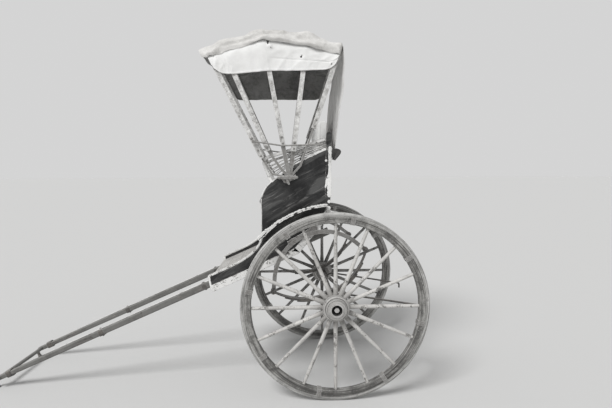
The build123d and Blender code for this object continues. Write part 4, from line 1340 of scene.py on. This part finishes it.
# Cushions: closed forms puffed by a short cloth simulation, capped and smoothed. Rest is the plane
# that each lies on, and pitch the spacing of its buttons.
backFace = forward * 0.908 + upward * 0.42
backRise = upward * 0.908 - forward * 0.42
cushions = {
    "seatPad": {
        "node": "seat_cushion", "finish": "seatLeather", "slot": "dark_leather", "fill": 0.55,
        "rest": (level(0, 0, 666.2), upward), "across": forward, "face": upward, "pipeOffs": (27, -27),
        "pipeRadius": 4.0, "buttons": (3, 4), "pitch": (118, 140), "dimple": 11,
    },
    "backPad": {
        "node": "back_cushion", "finish": "padCotton", "slot": "canvas", "fill": 0.6,
        "rest": (level(-320.5, 0, 806), backFace), "across": backRise, "face": backFace,
        "pipeOffs": (19, -19), "pipeRadius": 3.6, "buttons": (2, 3), "pitch": (110, 170), "dimple": 7,
    },
}
puffing = {
    "shrink": 6, "voxel": 0.009, "pressure": 4.0, "quality": 5, "mass": 0.3, "frames": 20, "cap": 0.012,
}
piping = {"steps": 220, "corners": 7, "core": (0.08, 0.22), "from": 0.6, "evening": 3}
tufting = {
    "dimpleSize": 24, "creaseSize": 9, "creaseAcross": 0.17945017, "creaseAlong": 0.18,
    "unevenness": 2.2, "above": 0.012, "buttonRadius": 0.0095, "buttonHeight": 0.004,
}


def puff(piece):
    remesh = piece.modifiers.new("evenMesh", "REMESH")
    remesh.mode = "VOXEL"
    remesh.voxel_size = puffing["voxel"]
    bakeModifiers(piece)
    rest = [vertex.co.copy() for vertex in piece.data.vertices]
    cloth = piece.modifiers.new("fabric", "CLOTH")
    cloth.settings.use_pressure = True
    cloth.settings.uniform_pressure_force = puffing["pressure"]
    cloth.settings.quality = puffing["quality"]
    cloth.settings.mass = puffing["mass"]
    cloth.settings.effector_weights.gravity = 0
    cloth.collision_settings.use_collision = False
    scene = bpy.context.scene
    for step in range(puffing["frames"]):
        scene.frame_set(step + 1)
    bakeModifiers(piece)
    scene.frame_set(1)
    for vertex, start in zip(piece.data.vertices, rest):
        move = vertex.co - start
        if move.length > puffing["cap"]:
            vertex.co = start + move.normalized() * puffing["cap"]
    finer = piece.modifiers.new("finer", "SUBSURF")
    finer.levels = 1
    finer.render_levels = 1
    bakeModifiers(piece)
    piece.data.polygons.foreach_set("use_smooth", [True] * len(piece.data.polygons))


def cushionMiddle(look):
    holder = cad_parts[look["node"]]
    corners = [holder.matrix_world @ vertex.co for vertex in holder.data.vertices]
    centre = Vector()
    for axis in (look["across"], look["face"], lateral):
        reach = [corner.dot(axis) for corner in corners]
        centre += axis * ((min(reach) + max(reach)) / 2)
    return centre


def pipeRing(tree, look, centre, off):
    # a closed line on the cushion's real surface: rays find it from outside
    ring = []
    for step in range(piping["steps"]):
        turn = math.tau * step / piping["steps"]
        squared = max(abs(math.cos(turn)), abs(math.sin(turn)))
        deep, wide = (reach / squared for reach in piping["core"])
        core = look["across"] * (math.cos(turn) * deep) + lateral * (math.sin(turn) * wide)
        away = (look["across"] * math.cos(turn) + lateral * math.sin(turn)).normalized()
        start = centre + look["face"] * (off / 1000) + core + away * piping["from"]
        hit = tree.ray_cast(start, -away)[0]
        if hit is not None:
            ring.append(hit)
    for _ in range(piping["evening"]):
        ring = [(ring[i - 1] + ring[i] * 2 + ring[(i + 1) % len(ring)]) / 4 for i in range(len(ring))]
    return ring


def makePiping(piece, name, look, centre):
    tree = surfaceTree(piece)
    radius, count = look["pipeRadius"] / 1000, piping["corners"]
    points, faces = [], []
    for off in look["pipeOffs"]:
        ring = pipeRing(tree, look, centre, off)
        base = len(points)
        for index, place in enumerate(ring):
            ahead = (ring[(index + 1) % len(ring)] - ring[index - 1]).normalized()
            outward = ahead.cross(look["face"]).normalized()
            for corner in range(count):
                angle = math.tau * corner / count
                points.append(place + (outward * math.cos(angle) + look["face"] * math.sin(angle)) * radius)
        faces += tubeFaces(base, len(ring), count, True)
    cord = newPiece(f"{name}Piping", points, faces, look["finish"])
    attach(cord, "carriage")


def dip(distance, size):
    return math.exp(-((distance / size) ** 2))


def tuft(piece, name, look, centre):
    # dimples pulled in by buttons, and creases running between them
    rows, columns = look["buttons"]
    spots = [
        ((row - (rows - 1) / 2) * look["pitch"][0], (column - (columns - 1) / 2) * look["pitch"][1])
        for row in range(rows) for column in range(columns)
    ]
    for vertex in piece.data.vertices:
        away = vertex.co - centre
        if away.dot(look["face"]) < tufting["above"]:
            continue
        a, b = away.dot(look["across"]) * 1000, away.dot(lateral) * 1000
        deep = max(dip(math.hypot(a - u, b - v), tufting["dimpleSize"]) for u, v in spots)
        across = max(dip(a - u, tufting["creaseSize"]) for u, v in spots) * tufting["creaseAcross"]
        along = max(dip(b - v, tufting["creaseSize"]) for u, v in spots) * tufting["creaseAlong"]
        soft = tufting["unevenness"] * ripple(a * 0.02, b * 0.02, 3.0)
        vertex.co -= look["face"] * ((look["dimple"] * max(deep, across, along) + soft) / 1000)
    point, normal = look["rest"]
    for vertex in piece.data.vertices:
        under = (vertex.co - point).dot(normal)
        if under < 0:
            vertex.co -= normal * under
    tree = surfaceTree(piece)
    heads = []
    for u, v in spots:
        start = centre + look["across"] * (u / 1000) + lateral * (v / 1000) + look["face"] * 0.2
        heads.append((tree.ray_cast(start, -look["face"])[0], look["face"]))
    size = (tufting["buttonRadius"], tufting["buttonHeight"])
    buttons = boltHeads(f"{name}Buttons", "carriage", heads, *size, look["finish"], 14, True)


def shrunkCopy(name, look):
    # the CAD cushion, drawn in on all sides but its underside
    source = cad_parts[look["node"]]
    mesh = source.data.copy()
    mesh.transform(source.matrix_world)
    made = bmesh.new()
    made.from_mesh(mesh)
    bmesh.ops.remove_doubles(made, verts=made.verts, dist=edgeBevel["weld"])
    low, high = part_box(look["node"])
    middle = (Vector(low) + Vector(high)) / 2
    for vertex in made.verts:
        away = vertex.co - middle
        for way in (forward, lateral, upward):
            part = away.dot(way)
            if way is not upward or part >= 0:
                vertex.co -= way * math.copysign(puffing["shrink"] / 1000, part)
    made.to_mesh(mesh)
    made.free()
    mesh.materials.clear()
    mesh.materials.append(materials[look["finish"]])
    piece = bpy.data.objects.new(name, mesh)
    bpy.context.collection.objects.link(piece)
    return piece


def makeCushion(name, look):
    piece = shrunkCopy(name, look)
    puff(piece)
    centre = cushionMiddle(look)
    tuft(piece, name, look, centre)
    makePiping(piece, name, look, centre)
    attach(piece, "carriage")
    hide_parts(look["node"])


for cushionName, cushionLook in cushions.items():
    makeCushion(cushionName, cushionLook)
print("stage 7: cushions")

# White trim on the body sides: a thin edge up the front of the panel, a chipped rail on its crest
# and a moulding along the footwell with a cap at its end. Paths are (forward, up) places in mm,
# and widths (share of the length, width) pairs in metres.
sideTrim = {
    "front": (
        (239, 525), (222, 565), (203, 605), (185, 645), (169, 678), (160, 712), (143, 745), (117, 775),
        (86, 797), (50, 808),
    ),
    "frontSize": (0.012, 0.007),
    "moulding": (
        (239, 525), (262, 499), (296, 477), (340, 460), (390, 450), (440, 445), (487, 444), (560, 444),
        (622, 444),
    ),
    "mouldingSize": (0.018, 0.014),
    "wallMiddle": 340,
}
chippedTrim = {
    "crestTrim": {
        "path": ((50, 809), (10, 818), (-40, 830), (-100, 847), (-160, 853), (-240, 856), (-352, 859)),
        "widths": ((0.0, 0.009), (0.45, 0.010), (0.7, 0.014), (1.0, 0.017)),
        "out": 340, "rounds": 2, "thickness": 0.019, "chips": 0.45, "gaps": ((0.30, 0.335), (0.55, 0.575)),
    },
    "endCap": {
        "path": ((624, 448), (629, 428), (636, 398), (642, 366)), "widths": ((0.0, 0.017), (1.0, 0.012)),
        "out": 340, "rounds": 1, "thickness": 0.017, "chips": 0.15, "gaps": (),
    },
}


def chippedStrips(looks, label, side, finish):
    pieces = []
    for name, look in looks.items():
        path = smoothPath(look["path"], side * look["out"], look["rounds"])
        shape = (look["widths"], look["thickness"], look["chips"])
        pieces.append(raggedBand(f"{name}{label}", path, side, *shape, finish, look["gaps"]))
    return pieces


def makeTrim():
    for sideName, side in sides:
        label = sideName.title()
        pieces = []
        for run in ("front", "moulding"):
            path = smoothPath(sideTrim[run], side * sideTrim["wallMiddle"])
            section = roundSection(*sideTrim[f"{run}Size"])
            piece = bandAlong(f"{run}Trim{label}", path, section, "whiteTimber")
            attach(piece, "carriage")
            pieces.append(piece)
        pieces += chippedStrips(chippedTrim, label, side, "chippedWhite")


makeTrim()

# Chipped white paint: the lips of the mudguards, the rear halves of the posts with a torn strip
# hanging from them, a knob at the panel's corner, and strips along the shafts' top faces that are also
# painted highlight
mudguardLips = {
    "radius": 587,
    "turns": (64.6, 109.8),
    "steps": 30,
    "out": 433.5,
    "upperLip": {
        "off": 4.5, "widths": ((0.0, 0.024), (0.10, 0.022), (0.20, 0.013), (0.6, 0.009), (1.0, 0.010)),
        "gaps": ((0.44, 0.447), (0.72, 0.73)),
    },
    "lowerLip": {
        "off": -4.5, "widths": ((0.0, 0.016), (0.22, 0.008), (1.0, 0.006)),
        "gaps": ((0.30, 0.33), (0.56, 0.60), (0.79, 0.82)),
    },
}
postPaint = {
    "postStrip": {
        "path": ((-361, 862), (-326, 786), (-286, 700), (-244, 610), (-217, 552)),
        "widths": ((0.0, 0.021), (0.4, 0.017), (0.75, 0.025), (1.0, 0.018)),
        "out": 350.6, "rounds": 1, "thickness": 0.003, "chips": 0.34, "gaps": ((0.33, 0.337), (0.90, 0.93)),
    },
    "postFoot": {
        "path": ((-207, 538), (-196, 514)), "widths": ((0.0, 0.024), (1.0, 0.028)),
        "out": 352, "rounds": 1, "thickness": 0.008, "chips": 0.15, "gaps": (),
    },
    "tornStrip": {
        "path": ((-292, 716), (-276, 700), (-254, 672), (-234, 646)),
        "widths": ((0.0, 0.013), (0.5, 0.016), (1.0, 0.012)),
        "out": 350.6, "rounds": 2, "thickness": 0.002, "chips": 0.2, "gaps": (),
    },
}
cornerKnob = {"place": (-304, 793), "out": 350, "radius": 0.008, "height": 0.005}
shafts = {"out": 240, "middle": 385, "top": 407, "underside": 363}
# white strips along the shafts' top faces: white paint, and a painted highlight of the light falling on the
# tops
shaftPaintAndHighlight = {
    "strips": (
        (655, ((0.0, 0.030), (0.6, 0.026), (1.0, 0.018))),
        (1265, ((0.0, 0.016), (0.5, 0.020), (1.0, 0.006))),
    ),
    "gaps": ((0.062, 0.085), (0.31, 0.33), (0.70, 0.725), (0.90, 0.93)),
    "length": 600,
    "height": 407.2,
    "thickness": -0.0016,
    "spacing": 0.008,
}


def lipStrip(name, label, side):
    look = mudguardLips[name]
    radius = mudguardLips["radius"] + look["off"]
    low, high = (math.radians(turn) for turn in mudguardLips["turns"])
    path = []
    for step in range(mudguardLips["steps"] + 1):
        turn = mix(low, high, step / mudguardLips["steps"])
        path.append(level(radius * math.cos(turn), side * mudguardLips["out"], radius * math.sin(turn)))
    return raggedBand(f"{name}{label}", path, side, look["widths"], 0.005, 0.7, "chippedWhite", look["gaps"])


def shaftStrip(start, widths, label, side):
    ends = (start, start + shaftPaintAndHighlight["length"])
    path = [level(x, side * shafts["out"], shaftPaintAndHighlight["height"]) for x in ends]
    return raggedBand(
        f"shaftStrip{start}{label}", path, side, widths, shaftPaintAndHighlight["thickness"], 0.30, "chippedWhite",
        shaftPaintAndHighlight["gaps"], shaftPaintAndHighlight["spacing"], lying=True,
    )


def makePaintStrips():
    for sideName, side in sides:
        label = sideName.title()
        pieces = [lipStrip(lip, label, side) for lip in ("upperLip", "lowerLip")]
        pieces += chippedStrips(postPaint, label, side, "chippedWhite")
        x, z = cornerKnob["place"]
        places = [(level(x, side * cornerKnob["out"], z), lateral * side)]
        size = (cornerKnob["radius"], cornerKnob["height"])
        pieces.append(boltHeads(f"cornerKnob{label}", "carriage", places, *size, "chippedWhite", 12, True))
        pieces += [shaftStrip(start, widths, label, side) for start, widths in shaftPaintAndHighlight["strips"]]


makePaintStrips()

# Canes that fill the side between each armrest and the panel's crest: each row holds a place
# forward and the heights between which the canes are spread there
canes = {"count": 4, "radius": 3.4, "out": 318, "rows": ((-352, 866, 908), (-150, 866, 934), (30, 826, 944))}


def makeCanes():
    for sideName, side in sides:
        runs = []
        for index in range(canes["count"]):
            share = (index + 0.6) / (canes["count"] + 0.4)
            places = [(x, mix(low, high, share)) for x, low, high in canes["rows"]]
            runs.append(smoothPath(places, side * canes["out"]))
        piece = rods(f"canes{sideName.title()}", "carriage", runs, canes["radius"] / 1000, "bowTimber")


makeCanes()
print("stage 8: trim, paint strips and canes")

# Wheels: iron straps over the rim's joints with nails, turned beads on the hubs and a near-black lining
# in their mouths, painted shade in the recess. Paths and profiles are (radius, off) pairs in mm.
wheelParts = {
    "strapTurns": (101.25, 56.25, 11.25, -33.75, -78.75, -123.75, 191.25, 146.25),
    "strapPath": ((526, 22.4), (500, 22.6), (486.6, 22.6), (486.6, -22.6), (500, -22.6), (526, -22.4)),
    "strapHalf": 13,
    "strapThickness": 2.6,
    "nailRadii": (497, 518),
    "nailOff": 23.8,
    "beads": ((74.5, 31, 3.2), (74.5, -31, 3.2), (67.5, 52, 2.6), (56.5, 69, 2.4), (41.5, 76, 2.0)),
    "mouthLining": (
        (30.9, 51), (30.9, 76.5), (29.2, 76.5), (29.2, 53), (13.0, 53), (13.0, 50.6), (30.9, 50.6),
    ),
    "mouthRing": ((39.6, 76), (39.6, 79.3), (36.0, 80.6), (31.5, 80.2), (30.8, 76)),
}


def strapPoints(side, turn):
    half, thick = wheelParts["strapHalf"], wheelParts["strapThickness"] / 2
    angle = math.radians(turn + 90)
    tangent = Vector((math.cos(angle), 0, math.sin(angle)))
    path = [Vector(place) for place in wheelParts["strapPath"]]
    points = []
    for index, place in enumerate(path):
        ahead = wayAt(path, index)
        for across, lift in ((-half, -thick), (half, -thick), (half, thick), (-half, thick)):
            spot = place + Vector((-ahead.y, ahead.x)) * lift
            points.append(wheelPoint(side, turn, spot.x, spot.y) + tangent * (across / 1000))
    return points


def makeStraps(sideName, side):
    points, faces, nails = [], [], []
    for turn in wheelParts["strapTurns"]:
        faces += tubeFaces(len(points), len(wheelParts["strapPath"]), 4)
        points += strapPoints(side, turn)
        for radius in wheelParts["nailRadii"]:
            for face in (1, -1):
                spot = wheelPoint(side, turn, radius, face * wheelParts["nailOff"])
                nails.append((spot, lateral * (side * face)))
    label, body = sideName.title(), f"wheel_{sideName}"
    straps = newPiece(f"rimStraps{label}", points, faces, "hoodIron", False)
    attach(straps, body)
    heads = boltHeads(f"strapNails{label}", body, nails, 0.0042, 0.0022, "hoodIron", 8, True)


def makeWheelParts():
    for sideName, side in sides:
        label, body = sideName.title(), f"wheel_{sideName}"
        makeStraps(sideName, side)
        loops = [beadLoop(*bead) for bead in wheelParts["beads"]]
        beads = turnedRings(f"hubBeads{label}", body, side, loops, "hubTimber")
        # the mouth's lining is near-black, painted shade in the hub's recess
        lining = turnedRings(f"hubMouth{label}", body, side, [wheelParts["mouthLining"]], "recessGrease")
        ring = turnedRings(f"hubRing{label}", body, side, [wheelParts["mouthRing"]], "brightIron")


makeWheelParts()
print("stage 9: wheel straps and hub rings")

# Hood fittings: a keeper plate over each pivot with its hanging catch, bolts through the bows' feet
# and knobs on the stays' front ends
hoodIrons = {
    "pivotKeeper": {
        "path": ((-108, 770), (-84, 781), (-46, 797), (-10, 813), (4, 819)),
        "widths": ((0.0, 0.018), (0.35, 0.022), (0.65, 0.022), (1.0, 0.018)),
        "out": 386, "rounds": 1, "thickness": 0.004, "chips": 0.10, "gaps": (),
    },
    "hoodCatch": {
        "path": ((-43, 795), (-43, 780), (-43, 762), (-43, 752)),
        "widths": ((0.0, 0.008), (0.3, 0.009), (0.4, 0.017), (1.0, 0.016)),
        "out": 380, "rounds": 1, "thickness": 0.011, "chips": 0.08, "gaps": (),
    },
}
fittings = {
    "bowBodies": ("hood_front", "hood_front", "hood_middle", "hood_rear", "hood_rear"),
    "bowBolts": (16, 52),
    "keeperBolts": ((-96, 776), (-7, 815)),
    "stayKnob": (50, 1092),
    "boltOut": 388,
}


def makeBowBolts():
    heads = {}
    for body, bow in zip(fittings["bowBodies"], hood["bows"]):
        for _, side in sides:
            for along in fittings["bowBolts"]:
                spot = Vector(bow["foot"]) + legWay(bow) * along
                heads.setdefault(body, []).append((level(spot.x, side * bow["half"], spot.y), lateral * side))
    for body, places in heads.items():
        name = f"bowBolts{body.split('_')[1].title()}"
        piece = boltHeads(name, body, places, 0.0065, 0.0035, "hoodIron", 10, True)


def makeHoodFittings():
    makeBowBolts()
    for sideName, side in sides:
        label = sideName.title()
        pieces = chippedStrips(hoodIrons, label, side, "hoodIron")
        out = side * fittings["boltOut"]
        bolts = [(level(x, out, z), lateral * side) for x, z in fittings["keeperBolts"]]
        pieces.append(boltHeads(f"keeperBolts{label}", "carriage", bolts, 0.008, 0.005, "hoodIron"))
        x, z = fittings["stayKnob"]
        knob = [(level(x, out, z), lateral * side)]
        pieces.append(boltHeads(f"stayKnob{label}", "hood_front", knob, 0.009, 0.010, "brightIron", 12, True))


makeHoodFittings()

# Small iron and nails on the body, springs and shafts
ironWork = {
    "floorBoards": 7,
    "boardSpan": (15, 640),
    "boardTop": 419,
    "nailOut": (60, 180, 300),
    "springBolts": ((305, 205), (-305, 205)),
    "springOuts": (404, 348),
    "bandPlaces": (150, 700, 1400, 2020),
    "bandHeights": (44.6, 44.6, 44.6, 45.0),
    "bandWidth": 41.5,
    "bandLength": 34,
}
brackets = {
    "sideBracket": {
        "path": ((109, 429), (60, 436), (-20, 446), (-94, 452)),
        "widths": ((0.0, 0.030), (0.4, 0.022), (1.0, 0.030)),
        "out": 352, "rounds": 1, "thickness": 0.005, "chips": 0.25, "gaps": (),
    },
}


def makeBands():
    # thin iron bands round the shafts
    points, faces = [], []
    for place, height in zip(ironWork["bandPlaces"], ironWork["bandHeights"]):
        section = roundSection(ironWork["bandWidth"], height, 0.30)
        for _, side in sides:
            faces += tubeFaces(len(points), 2, len(section))
            for end in (-0.5, 0.5):
                x = place + end * ironWork["bandLength"]
                points += [level(x, side * shafts["out"] + b, shafts["middle"] + a) for a, b in section]
    piece = newPiece("shaftBands", points, faces, "blackIron", False)
    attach(piece, "carriage")


def makeFloorNails():
    low, high = ironWork["boardSpan"]
    pitch = (high - low) / ironWork["floorBoards"]
    nails = []
    for board in range(ironWork["floorBoards"]):
        for share in (0.25, 0.75):
            x = low + pitch * (board + share)
            for out in ironWork["nailOut"]:
                nails += [(level(x, side * out, ironWork["boardTop"]), upward) for _, side in sides]
    return boltHeads("floorNails", "carriage", nails, 0.0035, 0.0012, "blackIron", 8, True)


def makeIronWork():
    makeBands()
    pieces = [makeFloorNails()]
    for sideName, side in sides:
        label = sideName.title()
        bolts = []
        for out, way in zip(ironWork["springOuts"], (side, -side)):
            bolts += [(level(x, side * out, z), lateral * way) for x, z in ironWork["springBolts"]]
        pieces.append(boltHeads(f"springNuts{label}", "carriage", bolts, 0.0095, 0.007, "blackIron"))
        ends = []
        for x in ironWork["bandPlaces"][:3]:
            for z, way in ((shafts["top"], upward), (shafts["underside"], -upward)):
                ends.append((level(x, side * shafts["out"], z), way))
        pieces.append(boltHeads(f"bandBolts{label}", "carriage", ends, 0.007, 0.005, "blackIron"))
        pieces += chippedStrips(brackets, label, side, "hoodIron")


makeIronWork()
print("stage 10: fittings, bolts and nails")
